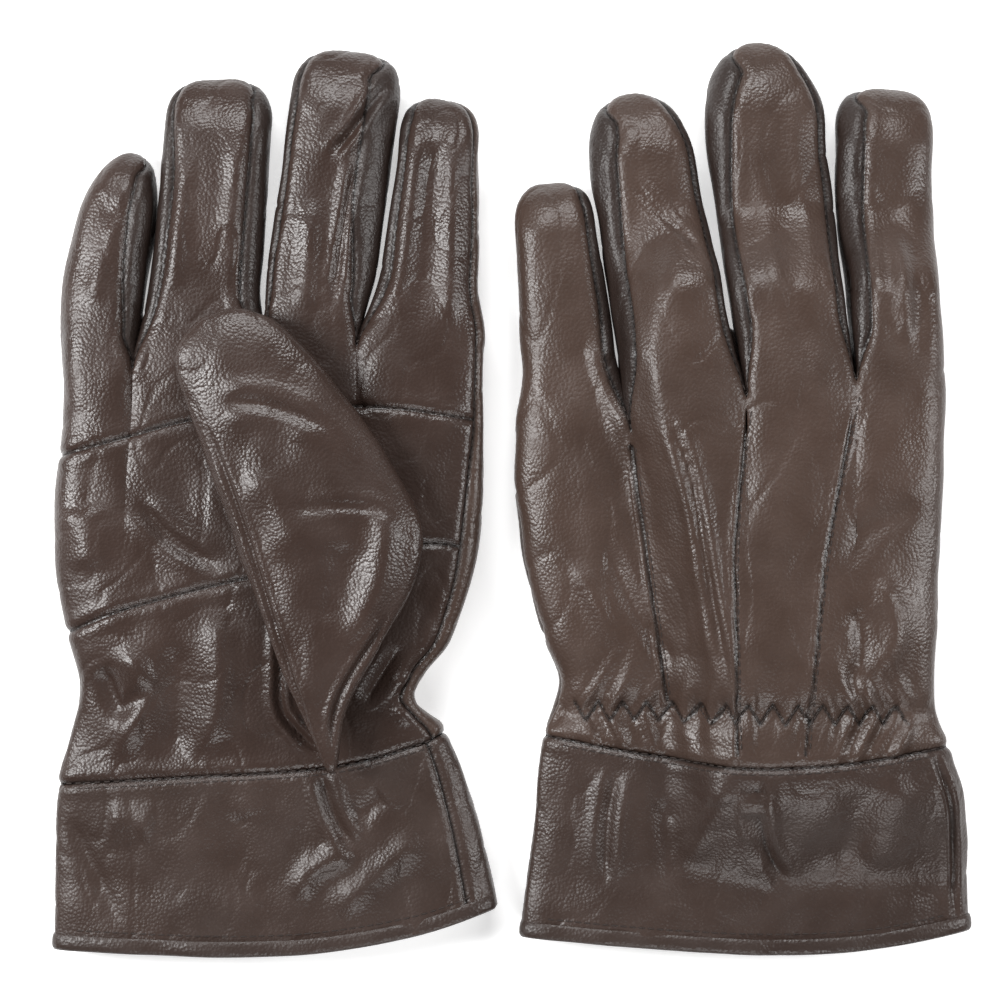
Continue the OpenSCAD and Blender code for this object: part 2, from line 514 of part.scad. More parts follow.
module left_index_tip_back() color(lighter) tip_skin(LEFT, 3, BACK);
module left_index_tip_side() color(dark) tip_strip(LEFT, 3);
module left_index_tip_lining() color(knit) tip_pocket(LEFT, 3);

right_back_panel();
right_palm_upper();
right_palm_middle();
right_palm_heel();
right_fourchettes();
right_cuff_palm();
right_cuff_back();
right_cuff_binding();
right_lining();
right_wrist_elastic();
right_stitching();
right_thumb_front();
right_thumb_back();
right_thumb_lining();
right_little_tip_palm();
right_little_tip_back();
right_little_tip_side();
right_little_tip_lining();
right_ring_tip_palm();
right_ring_tip_back();
right_ring_tip_side();
right_ring_tip_lining();
right_middle_tip_palm();
right_middle_tip_back();
right_middle_tip_side();
right_middle_tip_lining();
right_index_tip_palm();
right_index_tip_back();
right_index_tip_side();
right_index_tip_lining();
left_back_panel();
left_palm_upper();
left_palm_middle();
left_palm_heel();
left_fourchettes();
left_cuff_palm();
left_cuff_back();
left_cuff_binding();
left_lining();
left_wrist_elastic();
left_stitching();
left_thumb_front();
left_thumb_back();
left_thumb_lining();
left_little_tip_palm();
left_little_tip_back();
left_little_tip_side();
left_little_tip_lining();
left_ring_tip_palm();
left_ring_tip_back();
left_ring_tip_side();
left_ring_tip_lining();
left_middle_tip_palm();
left_middle_tip_back();
left_middle_tip_side();
left_middle_tip_lining();
left_index_tip_palm();
left_index_tip_back();
left_index_tip_side();
left_index_tip_lining();
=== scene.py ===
"""Looks for a pair of leather dress gloves: right glove palm up, left glove back up.

Lengths in the tables are millimetres in the part's own frame; meshes are made in metres.
"""
import math

import bpy
import numpy as np
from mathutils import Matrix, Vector, kdtree


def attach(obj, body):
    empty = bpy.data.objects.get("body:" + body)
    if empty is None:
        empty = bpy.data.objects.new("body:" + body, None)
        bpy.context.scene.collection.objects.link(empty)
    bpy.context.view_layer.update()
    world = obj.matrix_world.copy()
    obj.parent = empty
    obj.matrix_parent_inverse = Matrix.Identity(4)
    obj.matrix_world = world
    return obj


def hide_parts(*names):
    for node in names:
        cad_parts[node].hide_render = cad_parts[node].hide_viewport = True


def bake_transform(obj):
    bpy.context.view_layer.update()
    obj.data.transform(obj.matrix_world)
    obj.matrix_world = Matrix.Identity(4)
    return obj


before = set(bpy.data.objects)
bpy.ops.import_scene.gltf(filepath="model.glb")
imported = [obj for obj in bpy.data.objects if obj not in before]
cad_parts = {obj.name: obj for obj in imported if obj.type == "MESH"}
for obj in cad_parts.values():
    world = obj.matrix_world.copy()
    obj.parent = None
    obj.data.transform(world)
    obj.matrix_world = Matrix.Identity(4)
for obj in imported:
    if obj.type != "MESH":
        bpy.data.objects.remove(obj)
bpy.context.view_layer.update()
MM = 0.001
FAR = 1e9
NO_SEAM = 9.0
STITCH = 2.8
TABLE_GAP = 0.05
RIGHT, LEFT = 0, 1
PALM, BACK = 1, -1
HAND = ("right", "left")
NAMES = ("little", "ring", "middle", "index")

# ---------------------------------------------------------------- gloves' shape, following the CAD part
PALM_HALF, WRIST_HALF, HEM_HALF, FINGER_HALF, THUMB_HALF = 10.0, 8.5, 7.5, 9.0, 6.6
SIDE_FOLD, STRIP, THUMB_GAP = 4.5, 0.2, 0.6
LITTLE_EDGE = (
    ((-130, -130.5), (-84, -130), (-68, -126.5), (-54, -124), (-40, -126.5), (-20, -129),
     (8, -129), (30, -127.3)),
    ((-129, 2.5), (-100, 5.5), (-70, 8.5), (-60, 12), (-52, 13.5), (-42, 10), (-20, 5),
     (0, 2), (18, 1)))
INDEX_EDGE = (
    ((-118, -5), (-92, -10.3), (-75, -15.4), (-66, -20), (-58, -28), (-51, -25),
     (-41, -17.4), (-20, -11), (5, -8.5), (42, -8)),
    ((-125, 130.5), (-100, 129.5), (-84, 127), (-68, 121.5), (-58, 118.5), (-30, 119.5),
     (0, 121), (30, 121.5)))
FORKS = np.array([
    [[-127.3, 30], [-107.5, 36.5], [-71, 43], [-44, 43], [-8, 42]],
    [[1, 18], [33.5, 18.5], [65.2, 28.3], [95.8, 33], [121.5, 30]]], float)
FINGERS = (
    ((-107, 98, -3.2, 11.2, 10.6, 0.62, 2.1), (-83, 120, 0, 15.4, 15.2, 0.82, 2.6),
     (-45.5, 127, 0.5, 15.2, 15, 0.84, 2.6), (-20.5, 114, 1, 13.4, 11.6, 0.8, 2.5)),
    ((11, 90, 0, 12.4, 11.4, 0.8, 2.5), (32.5, 115.5, 0.8, 14.8, 14.8, 0.76, 2.2),
     (69.5, 130, -0.5, 16.2, 17, 0.72, 2.1), (106.5, 117, -0.6, 13.2, 13.8, 0.84, 2.6)))
CUFF_SEAM = (((-1, -81.8), (-0.3, -79.5), (0.38, -76.7), (0.87, -70), (1, -67)),
             ((-1, -68), (-0.5, -73), (0, -76), (0.5, -74.5), (1, -70)))
HEM = (((-1, -128.5), (0, -130), (0.6, -125), (1, -117)),
       ((-1, -125), (0, -129.4), (0.5, -128.5), (1, -123)))
LOWER_SEAM = (((-1, -38.8), (-0.68, -32), (-0.07, -23), (0.74, -13.5), (1, -15)),
              ((-1, -40), (-0.6, -34), (0, -28), (0.6, -24), (1, -24)))
UPPER_SEAM = (((-1, 11.5), (-0.68, 16.8), (-0.37, 21.7), (0.4, 25.4), (1, 21)),
              ((-1, 2), (-0.6, 5), (0, 9), (0.5, 12), (1, 9)))
THUMB_ROWS = np.array([
    [-51.5, -77.5, -50.5, -77.6, 0.12], [-53, -74, -48.5, -75, 0.4], [-59, -60, -46, -60, 0.72],
    [-67, -41, -36, -41, 0.95], [-74.5, -22, -27, -22, 1], [-81, -2, -26, -6, 1],
    [-87.5, 16, -37, 14.5, 1], [-93, 32, -49, 30, 0.97], [-93.5, 41, -58, 41, 0.88],
    [-88, 48.5, -66, 48.5, 0.65], [-82, 52, -73, 52, 0.35], [-77.8, 52.6, -77.2, 52.6, 0.03]], float)
THUMB_SHIFT = np.array([[0, 0], [131, -2]], float)


def smooth(t):
    t = np.clip(t, 0, 1)
    return t * t * (3 - 2 * t)


def mix(a, b, t):
    return a * (1 - t) + b * t


def superz(u, n):
    """Height share of a superellipse section at across share u."""
    return np.maximum(0, 1 - np.minimum(1, np.abs(u)) ** n) ** (1 / n)


def curve(pairs, t):
    """Smooth curve through (place, value) pairs, evaluated at an array of places."""
    xs, vs = np.array(pairs, float).T
    k = np.arange(len(xs))
    a, b = np.maximum(k - 1, 0), np.minimum(k + 1, len(xs) - 1)
    m = (vs[b] - vs[a]) / (xs[b] - xs[a])
    t = np.asarray(t, float)
    i = np.clip(np.searchsorted(xs[1:-1], t, side="right"), 0, len(xs) - 2)
    h = xs[i + 1] - xs[i]
    q = np.clip((t - xs[i]) / h, 0, 1)
    return (mix(vs[i], vs[i + 1], q * q * (3 - 2 * q))
            + h * (q * (1 - q) ** 2 * m[i] - q * q * (1 - q) * m[i + 1]))


def mid_x(g, y):
    return (curve(LITTLE_EDGE[g], y) + curve(INDEX_EDGE[g], y)) / 2


def half_x(g, y):
    return (curve(INDEX_EDGE[g], y) - curve(LITTLE_EDGE[g], y)) / 2


def face_sign(g, face):
    return face if g == RIGHT else -face


def drape(g, x, y):
    """Height by which the left glove lies over its thumb; it ends more gently than in the CAD."""
    if g == RIGHT:
        return 0 * x
    return ((2 * THUMB_HALF + THUMB_GAP)
            * smooth((x - 18 + 0.27 * (np.maximum(y, -45) - 45) - 0.6 * np.maximum(0, y - 40)) / 20)
            * smooth((y + 114) / 36) * smooth((84 - y) / 28))


def finger_base(g, i):
    root = (FORKS[g][i] + FORKS[g][i + 1]) / 2
    span = np.array(FINGERS[g][i][:2], float) - root
    d = span / np.linalg.norm(span)
    return root, span, np.array([d[1], -d[0]])


def finger_length(g, i):
    return np.linalg.norm(finger_base(g, i)[1])


def finger_frame(g, i, s):
    """Axis point, side direction with its half width, and pointing direction at share s."""
    root, span, side = finger_base(g, i)
    f = FINGERS[g][i]
    s = np.asarray(s, float)[..., None]
    p = root + span * s + side * f[2] * 4 * s * (1 - s)
    d = span + side * f[2] * 4 * (1 - 2 * s)
    d = d / np.linalg.norm(d, axis=-1, keepdims=True)
    q = np.clip((s - f[5]) / (1 - f[5]), 0, 1)
    w = mix(f[3], f[4], smooth((s - 0.35) / 0.5)) * np.maximum(0, 1 - q ** f[6]) ** (1 / f[6])
    b = smooth(s / 0.3)
    reach = ((FORKS[g][i + 1] - FORKS[g][i]) / 2 * (1 - b)
             + np.stack([d[..., 1], -d[..., 0]], -1) * w * b)
    return p, reach, d


def finger_thick(s):
    body = mix(PALM_HALF - 0.5, FINGER_HALF, smooth(s / 0.3)) * (1 - 0.3 * smooth((s - 0.78) / 0.22))
    q = np.clip((s - 0.86) / 0.14, 0, 1)
    return body * np.maximum(0, 1 - q ** 2.4) ** (1 / 2.4)


def finger_mid(s):
    full = mix(PALM_HALF - 0.5, FINGER_HALF, smooth(s / 0.3))
    return mix(finger_thick(s), full, 0.55 * smooth((s - 0.6) / 0.4))


# width in mm of the side strip that shows beside each finger, at shares of its length:
# little-finger side then index side; the outer sides of the hand have none
NO_STRIP = ((0, 0), (1, 0))
STRIPS = (
    ((NO_STRIP, ((0.2, 3.5), (0.5, 5.5), (0.9, 7))),
     (((0.2, 3.5), (0.6, 4.3), (0.9, 1.5)), ((0.2, 5), (0.9, 4.5))),
     (((0.2, 1.5), (0.9, 1.5)), ((0.2, 5), (0.5, 9), (0.9, 8.5))),
     (((0.2, 2.5), (0.9, 2.5)), NO_STRIP)),
    ((NO_STRIP, ((0.2, 2), (0.9, 2.5))),
     (((0.2, 2.5), (0.4, 4), (0.6, 5.5), (0.9, 9)), ((0.2, 1.5), (0.9, 1.5))),
     (((0.2, 4), (0.5, 4), (0.75, 7), (0.95, 8.5)), ((0.2, 2.5), (0.9, 1.7))),
     (((0.2, 5), (0.5, 5.5), (0.9, 7.5)), NO_STRIP)))
FORK_U = 1 - STRIP


def seam_place(g, i, side, s):
    """Half width less the strip, and the across share of the seam, on side 0 (little) or 1 (index)."""
    s = np.asarray(s, float)
    w = np.maximum(np.linalg.norm(finger_frame(g, i, s)[1], axis=-1), 1e-6)
    inset = curve(STRIPS[g][i][side], s) * smooth(s / 0.2)
    inset = np.minimum(inset, 0.62 * w) * smooth((1 - s) / 0.1)
    return w, inset, mix(FORK_U, 1 - inset / w, smooth(s / 0.2))


def seam_phi(g, i, side, s):
    """Section angle, from the side, at which the finger's seam runs."""
    if NO_STRIP is STRIPS[g][i][side]:
        return 0 * np.asarray(s, float)
    return np.degrees(np.arccos(np.clip(seam_place(g, i, side, s)[2], 0, 1) ** 1.5))


def profile(phi):
    """Across share and height share on a finger section; phi 0 to 180 is the face, beyond it folds under."""
    c, s = np.cos(np.radians(phi)), np.sin(np.radians(phi))
    return -np.sign(c) * np.abs(c) ** (2 / 3), np.sign(s) * np.abs(s) ** (2 / 3)


FORK_PHI = math.degrees(math.acos(FORK_U ** 1.5))
FOLD_PHI = math.degrees(math.acos(0.9 ** 1.5))


def finger_point(g, i, s, phi, face, d=0.0):
    """Point on a finger's section at share s of its length, d inside the leather's surface."""
    phi = np.asarray(phi, float)
    s = s + 0 * phi
    u, zf = profile(phi)
    p, r, _ = finger_frame(g, i, s)
    side = np.where(u < 0, 0, 1)
    w, ins, us = [np.where(side == 0, a, b) for a, b in zip(seam_place(g, i, 0, s), seam_place(g, i, 1, s))]
    outer = ((i == 0) & (u < 0)) | ((i == 3) & (u > 0))
    a = np.abs(u)
    lat = np.where(a <= us, a / us * (w - ins), w - ins + ins * (a - us) / np.maximum(1 - us, 1e-6))
    lat = np.where(outer, a * w, lat)
    lat = lat * (1 - np.minimum(d / w, 0.9) * np.where(outer, 1, smooth(s / 0.15)))
    xy = p + r / w[..., None] * (np.sign(u) * lat)[..., None]
    z = np.maximum(finger_thick(s) - d, 0) * zf
    return np.stack([xy[..., 0], xy[..., 1], finger_mid(s) + drape(g, xy[..., 0], xy[..., 1])
                     + face_sign(g, face) * z], -1)


def hand_thick(y):
    return np.where(y < -75, mix(HEM_HALF, WRIST_HALF, smooth((y + 125) / 50)),
                    mix(WRIST_HALF, PALM_HALF, smooth((y + 75) / 35)))


def hem_lift(y):
    return 0.7 * smooth((-108 - y) / 10)


def fork_share(g, x):
    a, b = FORKS[g][0][0], FORKS[g][4][0]
    return (2 * x - a - b) / (b - a)


def hand_share(g, i, phi, face):
    """Share of the half width at which a column runs through hand and cuff."""
    u, zf = profile(phi)
    x0 = finger_point(g, i, np.zeros_like(phi), phi, face)[..., 0]
    share = fork_share(g, x0)
    if i == 3 and face == PALM:
        a = fork_share(g, FORKS[g][3][0])
        return mix(a, 1 - SIDE_FOLD / 60, (u + FORK_U) / (0.9 + FORK_U))
    return np.where(zf < 0, 1 - (1 - u) / 0.1 * SIDE_FOLD / 60, share)


def hand_point(g, i, phi, y, face, d=0.0):
    """Point on the hand in finger band i, running over into the finger's section at the fork."""
    rise = profile(phi)[1]
    f = finger_point(g, i, np.zeros_like(phi), phi, face)
    y0 = curve(CUFF_SEAM[g], 0)
    r = (y - y0) / (f[..., 1] - y0)
    k = smooth((r - 0.5) / 0.5)
    at_fork = fork_share(g, f[..., 0])
    u = mix(hand_share(g, i, phi, face), at_fork, k)
    x = mix(mid_x(g, y) + (half_x(g, y) - d) * u, f[..., 0] - d * u, smooth((r - 0.7) / 0.3))
    t = mix(hand_thick(y), PALM_HALF - 0.5, k)
    z = (t - d) * np.sign(rise) * mix(superz(u, 4), np.abs(rise), k)
    return np.stack([x, y, t + hem_lift(y) + drape(g, x, y) + face_sign(g, face) * z], -1)


def plain_point(g, share, y, face, d=0.0):
    """Point on the hand or cuff away from the forks."""
    x = mid_x(g, y) + (half_x(g, y) - d) * share
    t = hand_thick(y)
    return np.stack([x, y + 0 * x, t + hem_lift(y) + drape(g, x, y)
                     + face_sign(g, face) * (t - d) * superz(share, 4)], -1)


# ---------------------------------------------------------------- seeded smooth noise and folds
def noise(p, size, seed):
    """Smooth noise of about unit height whose bumps are about size mm across."""
    rng = np.random.default_rng(seed)
    out = np.zeros(p.shape[:-1])
    for _ in range(10):
        k = rng.normal(size=p.shape[-1])
        k *= 2 * math.pi / (size * rng.uniform(1.5, 3.0)) / np.linalg.norm(k)
        out += np.sin(p @ k + rng.uniform(0, 2 * math.pi))
    return out / math.sqrt(5)


def stroke_height(xy, points, amp, width, sharp=False):
    """Height of one fold drawn through points; a sharp one of negative amp creases down with puffed sides."""
    pts = np.array(points, float)
    if len(pts) > 2:
        t = np.arange(len(pts))
        fine = np.linspace(0, len(pts) - 1, 4 * len(pts))
        pts = np.stack([curve(list(zip(t, pts[:, k])), fine) for k in (0, 1)], -1)
    lo, hi = pts.min(0) - 4 * width, pts.max(0) + 4 * width
    near = np.all((xy > lo) & (xy < hi), axis=1)
    out = np.zeros(len(xy))
    if not near.any():
        return out
    q = xy[near]
    best = np.full(len(q), FAR)
    along = np.zeros(len(q))
    lengths = np.linalg.norm(np.diff(pts, axis=0), axis=1)
    done = 0.0
    for a, b, n in zip(pts[:-1], pts[1:], lengths):
        t = np.clip(((q - a) @ (b - a)) / max(n * n, 1e-9), 0, 1)
        dist = np.linalg.norm(q - (a + t[:, None] * (b - a)), axis=1)
        closer = dist < best
        best = np.where(closer, dist, best)
        along = np.where(closer, done + t * n, along)
        done += n
    share = along / max(done, 1e-9)
    taper = smooth(share / 0.22) * smooth((1 - share) / 0.28)
    x = best / width
    if sharp:
        h = amp * (np.exp(-x * 1.6) - 0.55 * np.exp(-((x - 1.9) / 1.1) ** 2))
    else:
        h = amp * np.exp(-x * x)
    out[near] = h * taper
    return out


def line_distance(xy, points):
    """Distance from each place to a line through points."""
    best = np.full(len(xy), FAR)
    for a, b in zip(np.array(points[:-1]), np.array(points[1:])):
        t = np.clip(((xy - a) @ (b - a)) / ((b - a) @ (b - a)), 0, 1)
        best = np.minimum(best, np.linalg.norm(xy - (a + t[:, None] * (b - a)), axis=1))
    return best


def welt(xy, points, amp):
    """A stitched tuck: a narrow ridge with a groove on one side."""
    pts = np.array(points, float)
    best = np.full(len(xy), FAR)
    side = np.zeros(len(xy))
    for a, b in zip(pts[:-1], pts[1:]):
        n = np.linalg.norm(b - a)
        t = np.clip(((xy - a) @ (b - a)) / (n * n), 0, 1)
        rel = xy - (a + t[:, None] * (b - a))
        dist = np.linalg.norm(rel, axis=1)
        cross = ((b - a)[0] * rel[:, 1] - (b - a)[1] * rel[:, 0]) / n
        closer = dist < best
        best = np.where(closer, dist, best)
        side = np.where(closer, np.where(cross > 0, dist, -dist), side)
    return amp * (np.exp(-((side + 0.9) / 0.75) ** 2) - 1.3 * np.exp(-(side / 0.45) ** 2)
                  - 0.25 * np.exp(-((side - 2.2) / 1.6) ** 2))


# ---------------------------------------------------------------- leather skins on fine grids
STEP = 0.85
TOP = (PALM, BACK)


def laid(points_of, lo, hi, targets):
    """Points of a section between two angles, at the target shares of the way along it."""
    fine = np.linspace(lo, hi, 90)
    p = points_of(fine)
    run = np.concatenate([[0], np.cumsum(np.linalg.norm(np.diff(p, axis=0), axis=1))])
    return points_of(np.interp(targets * run[-1], run, fine))


def denser_ends(n, amount):
    """Shares from 0 to 1 in n steps, shorter towards both ends."""
    k = np.linspace(0, 1, n + 1)
    return k - amount * np.sin(2 * math.pi * k) / (2 * math.pi)


def sample(points, step=0.3):
    """A polyline's points at an even spacing, with the distance run."""
    p = np.asarray(points, float)
    run = np.concatenate([[0], np.cumsum(np.linalg.norm(np.diff(p, axis=0), axis=1))])
    at = np.linspace(0, run[-1], max(2, int(run[-1] / step)))
    return np.stack([np.interp(at, run, p[:, k]) for k in range(p.shape[1])], -1), at


class Skin:
    """Grids welded where they meet, so that relief and shading run on over the piece borders."""

    def __init__(self):
        self.points, self.quads, self.labels, self.seams = [], [], [], []
        self.count = 0

    def grid(self, p, label, flip=False):
        """Add rows by columns of points; label is one name or one name for each row of cells."""
        nr, nc = p.shape[:2]
        ids = self.count + np.arange(nr * nc).reshape(nr, nc)
        q = np.stack([ids[:-1, :-1], ids[:-1, 1:], ids[1:, 1:], ids[1:, :-1]], -1)
        names = [label] * (nr - 1) if isinstance(label, str) else label
        self.labels += [n for n in names for _ in range(q.shape[1])]
        q = q.reshape(-1, 4)
        self.quads.append(q[:, ::-1] if flip else q)
        self.points.append(p.reshape(-1, 3))
        self.count += nr * nc

    def seam(self, p, piece):
        """A sewn line through points of the grids; piece names what its stitches belong to."""
        self.seams.append((piece, np.asarray(p, float)))

    def weld(self):
        p = np.concatenate(self.points)
        key = np.round(p * 200).astype(np.int64)
        _, first, back = np.unique(key, axis=0, return_index=True, return_inverse=True)
        back = back.reshape(-1)
        self.p = p[first]
        self.q = back[np.concatenate(self.quads)]
        self.labels = np.array(self.labels)


def normals(p, q):
    n = np.cross(p[q[:, 2]] - p[q[:, 0]], p[q[:, 3]] - p[q[:, 1]])
    out = np.zeros_like(p)
    for k in range(4):
        np.add.at(out, q[:, k], n)
    return out / np.maximum(np.linalg.norm(out, axis=1, keepdims=True), 1e-12)


def nearest_seam(p, seams):
    """Distance to the nearest seam and the distance run along it, for each point."""
    parts = [sample(s) for s in seams if len(s) > 1]
    q = np.concatenate([a for a, _ in parts])
    run = np.concatenate([b + 7.3 * k for k, (_, b) in enumerate(parts)])
    tree = kdtree.KDTree(len(q))
    for k, v in enumerate(q):
        tree.insert(v, k)
    tree.balance()
    found = [tree.find(v) for v in p]
    return np.array([f[2] for f in found]), run[[f[1] for f in found]]


def seam_relief(e, run):
    """The leather dips into a seam, puffs beside it and puckers between its stitches."""
    return (-0.85 * np.exp(-(e / 0.7) ** 1.3) + 0.3 * np.exp(-((e - 2.6) / 1.9) ** 2)
            + 0.05 * np.cos(2 * math.pi * run / STITCH) * np.exp(-((e - 1.5) / 1.1) ** 2))


def glove_bands(face):
    """Section angle ends of the four finger bands over the hand."""
    last = 180 - FOLD_PHI if face == PALM else 180 + FOLD_PHI
    return ((0.0, 180 - FORK_PHI), (FORK_PHI, 180 - FORK_PHI), (FORK_PHI, 180 - FORK_PHI), (FORK_PHI, last))


def seam_heights(g, face, share, fork_y):
    """Heights of the cross seams of a face at a column, from cuff to fork."""
    cuff = curve(CUFF_SEAM[g], share)
    if face == BACK:
        return [cuff, fork_y]
    return [cuff, curve(LOWER_SEAM[g], share), curve(UPPER_SEAM[g], share), fork_y]


def finger_shares(g, i):
    """Shares along a finger, closer together where its tip rounds off."""
    n = int(finger_length(g, i) / STEP)
    k = np.linspace(0, 1, n)
    return np.append(mix(k, np.sin(k * math.pi / 2), smooth((k - 0.5) / 0.4)) * 0.9995, 1.0)


def hand_face(skin, g, face):
    """One face of the hand and its fingers, in four bands that run from the wrist to the fingertips."""
    hand = HAND[g]
    flip = face_sign(g, face) < 0
    panels = (["palm_heel", "palm_middle", "palm_upper"], ["back_hand"])[0 if face == PALM else 1]
    for i, (lo, hi) in enumerate(glove_bands(face)):
        width = np.linalg.norm(FORKS[g][i + 1] - FORKS[g][i])
        targets = denser_ends(int(width / STEP) + (6 if i in (0, 3) else 0), 0.3)
        grid, names = [], []

        def levels(phi):
            top = finger_point(g, i, 0.0, phi, face)
            return seam_heights(g, face, hand_share(g, i, phi, face), top[..., 1])
        middle = levels(np.array([90.0]))
        for k, panel in enumerate(panels):
            n = max(4, int((middle[k + 1][0] - middle[k][0]) / STEP))
            for t in denser_ends(n, 0.3)[min(k, 1):]:
                def row(phi, k=k, t=t):
                    low, high = levels(phi)[k:k + 2]
                    return hand_point(g, i, phi, mix(low, high, t), face)
                grid.append(laid(row, lo, hi, targets))
                names.append(f"{hand}_{panel}")
            skin.seam(grid[0] if k == 0 else grid[-n - 1], f"{hand}_hand")
        edge = 0 if i == 0 else -1
        if i in (0, 3):
            skin.seam([r[edge] for r in grid], f"{hand}_hand")
        for s in finger_shares(g, i)[1:]:
            def row(phi, s=s):
                return finger_point(g, i, s, phi, face)
            a = seam_phi(g, i, 0, s) if i > 0 else lo
            b = 180 - seam_phi(g, i, 1, s) if i < 3 else hi
            grid.append(laid(row, a, b, targets))
            names.append(f"{hand}_{NAMES[i]}_{'palm' if face == PALM else 'back'}")
        grid = np.array(grid)
        skin.grid(grid, names[1:], flip)
        n = len(finger_shares(g, i))
        skin.seam(grid[-n:, 0], f"{hand}_{NAMES[i]}")
        skin.seam(grid[-n:, -1], f"{hand}_{NAMES[i]}")


def hand_strips(skin, g):
    """The strips between a finger's palm and back."""
    for i in range(4):
        for side in (0, 1):
            if STRIPS[g][i][side] is NO_STRIP:
                continue
            rows = []
            for s in finger_shares(g, i):
                a = float(seam_phi(g, i, side, s))
                lo, hi = (a, -a) if side == 0 else (180 - a, 180 + a)

                def row(phi, s=s):
                    return finger_point(g, i, s, phi, TOP[g])
                rows.append(laid(row, lo, hi, denser_ends(18, 0.3)))
            skin.grid(np.array(rows), f"{HAND[g]}_{NAMES[i]}_strip_{('little', 'index')[side]}", side == 0)


THUMB_ROUND = 2 / 2.6


def thumb_point(g, k, phi, d=0.0):
    """Point round the thumb at row place k; phi 0 to 180 is its front."""
    phi = np.asarray(phi, float)
    at = np.arange(len(THUMB_ROWS))
    k = k + 0 * phi
    x0, y0, x1, y1, thick = [curve(list(zip(at, column)), k) for column in THUMB_ROWS.T]
    a, b = np.stack([x0, y0], -1), np.stack([x1, y1], -1)
    c, sn = np.cos(np.radians(phi)), np.sin(np.radians(phi))
    u = -np.sign(c) * np.abs(c) ** THUMB_ROUND
    w = np.maximum(np.linalg.norm(b - a, axis=-1) / 2, 1e-6)
    xy = (a + b) / 2 + (b - a) / 2 * (u * (1 - np.minimum(d / w, 0.9)))[..., None] + THUMB_SHIFT[g]
    base = THUMB_HALF + (2 * PALM_HALF + THUMB_GAP if g == RIGHT else 0)
    z = base + np.sign(sn) * np.abs(sn) ** THUMB_ROUND * np.maximum(THUMB_HALF * thick - d, 0.01)
    return np.stack([xy[..., 0], xy[..., 1], z], -1)


def thumb_skin(skin, g):
    rows = np.linspace(0, len(THUMB_ROWS) - 1, 150)
    for part, lo, hi in (("front", 0.0, 180.0), ("back", 180.0, 360.0)):
        grid = np.array([laid(lambda phi, k=k: thumb_point(g, k, phi), lo, hi, denser_ends(56, 0.3))
                         for k in rows])
        skin.grid(grid, f"{HAND[g]}_thumb_{part}")
        if part == "front":
            skin.seam(grid[:, 0], f"{HAND[g]}_thumb")
            skin.seam(grid[:, -1], f"{HAND[g]}_thumb")


CUFF_FOLD = math.degrees(math.acos(0.88 ** 2))


def cuff_point(g, phi, t, face, d=0.0, up=0.0):
    """Point on the cuff; t runs from the hem to the wrist seam, and phi past 180 wraps to the other face."""
    c = np.cos(np.radians(phi))
    share = -np.sign(c) * np.sqrt(np.abs(c))
    y = mix(curve(HEM[g], share), curve(CUFF_SEAM[g], share), t) + up
    p = plain_point(g, share, y, face, d)
    other = plain_point(g, share, y, -face, d)
    return np.where((np.sin(np.radians(phi)) < 0)[..., None], other, p)


def cuff_skin(skin, g):
    hand = HAND[g]
    for face, part, hi in ((PALM, "palm", 180 - CUFF_FOLD), (BACK, "back", 180 + CUFF_FOLD)):
        grid = np.array([laid(lambda phi, t=t: cuff_point(g, phi, t, face), 0.0, hi, denser_ends(150, 0.2))
                         for t in denser_ends(60, 0.3)])
        skin.grid(grid, f"{hand}_cuff_{part}", face_sign(g, face) < 0)
        skin.seam(grid[-1], f"{hand}_cuff")
        skin.seam(grid[:, -1], f"{hand}_cuff")
        skin.seam(grid[:, 0], f"{hand}_cuff")


# ---------------------------------------------------------------- folds, placed one by one
# (height, width, creased, places); a place on the hand or cuff is (share of the half width, y)
HAND_FOLDS = (
    ((-1.0, 2.2, True, ((-0.62, -1), (-0.45, -12), (-0.2, -21))),
     (1.0, 6, False, ((-0.88, -2), (-0.82, -22))),
     (1.3, 4, False, ((-0.72, -41), (-0.6, -54), (-0.72, -76))),
     (-1.3, 3, False, ((-0.84, -47), (-0.72, -60), (-0.52, -52))),
     (1.0, 4, False, ((-0.22, -30), (-0.15, -55), (-0.28, -77))),
     (-0.9, 4, False, ((-0.42, -40), (-0.42, -77))),
     (-1.2, 1.2, True, ((0.1, -30), (0.16, -48), (0.2, -62), (0.32, -75))),
     (-0.9, 1.0, True, ((0.2, -62), (0.3, -71), (0.42, -66))),
     (-0.8, 2, True, ((0.75, -42), (0.68, -60))),
     (0.9, 3, False, ((0.85, -48), (0.8, -66)))),
    ((-1.1, 1.4, True, ((-0.33, 27), (-0.2, 5), (-0.14, -30), (-0.08, -58))),
     (-0.9, 2.6, False, ((-0.62, -12), (-0.5, -34), (-0.34, -50))),
     (0.7, 3, False, ((-0.78, -18), (-0.62, -45))),
     (-0.9, 4, False, ((0.9, -2), (0.62, -10), (0.5, -24))),
     (1.2, 3.6, False, ((0.65, -22), (0.78, -36), (0.66, -52))),
     (-1.0, 2.6, False, ((0.58, -30), (0.6, -44), (0.52, -56)))))
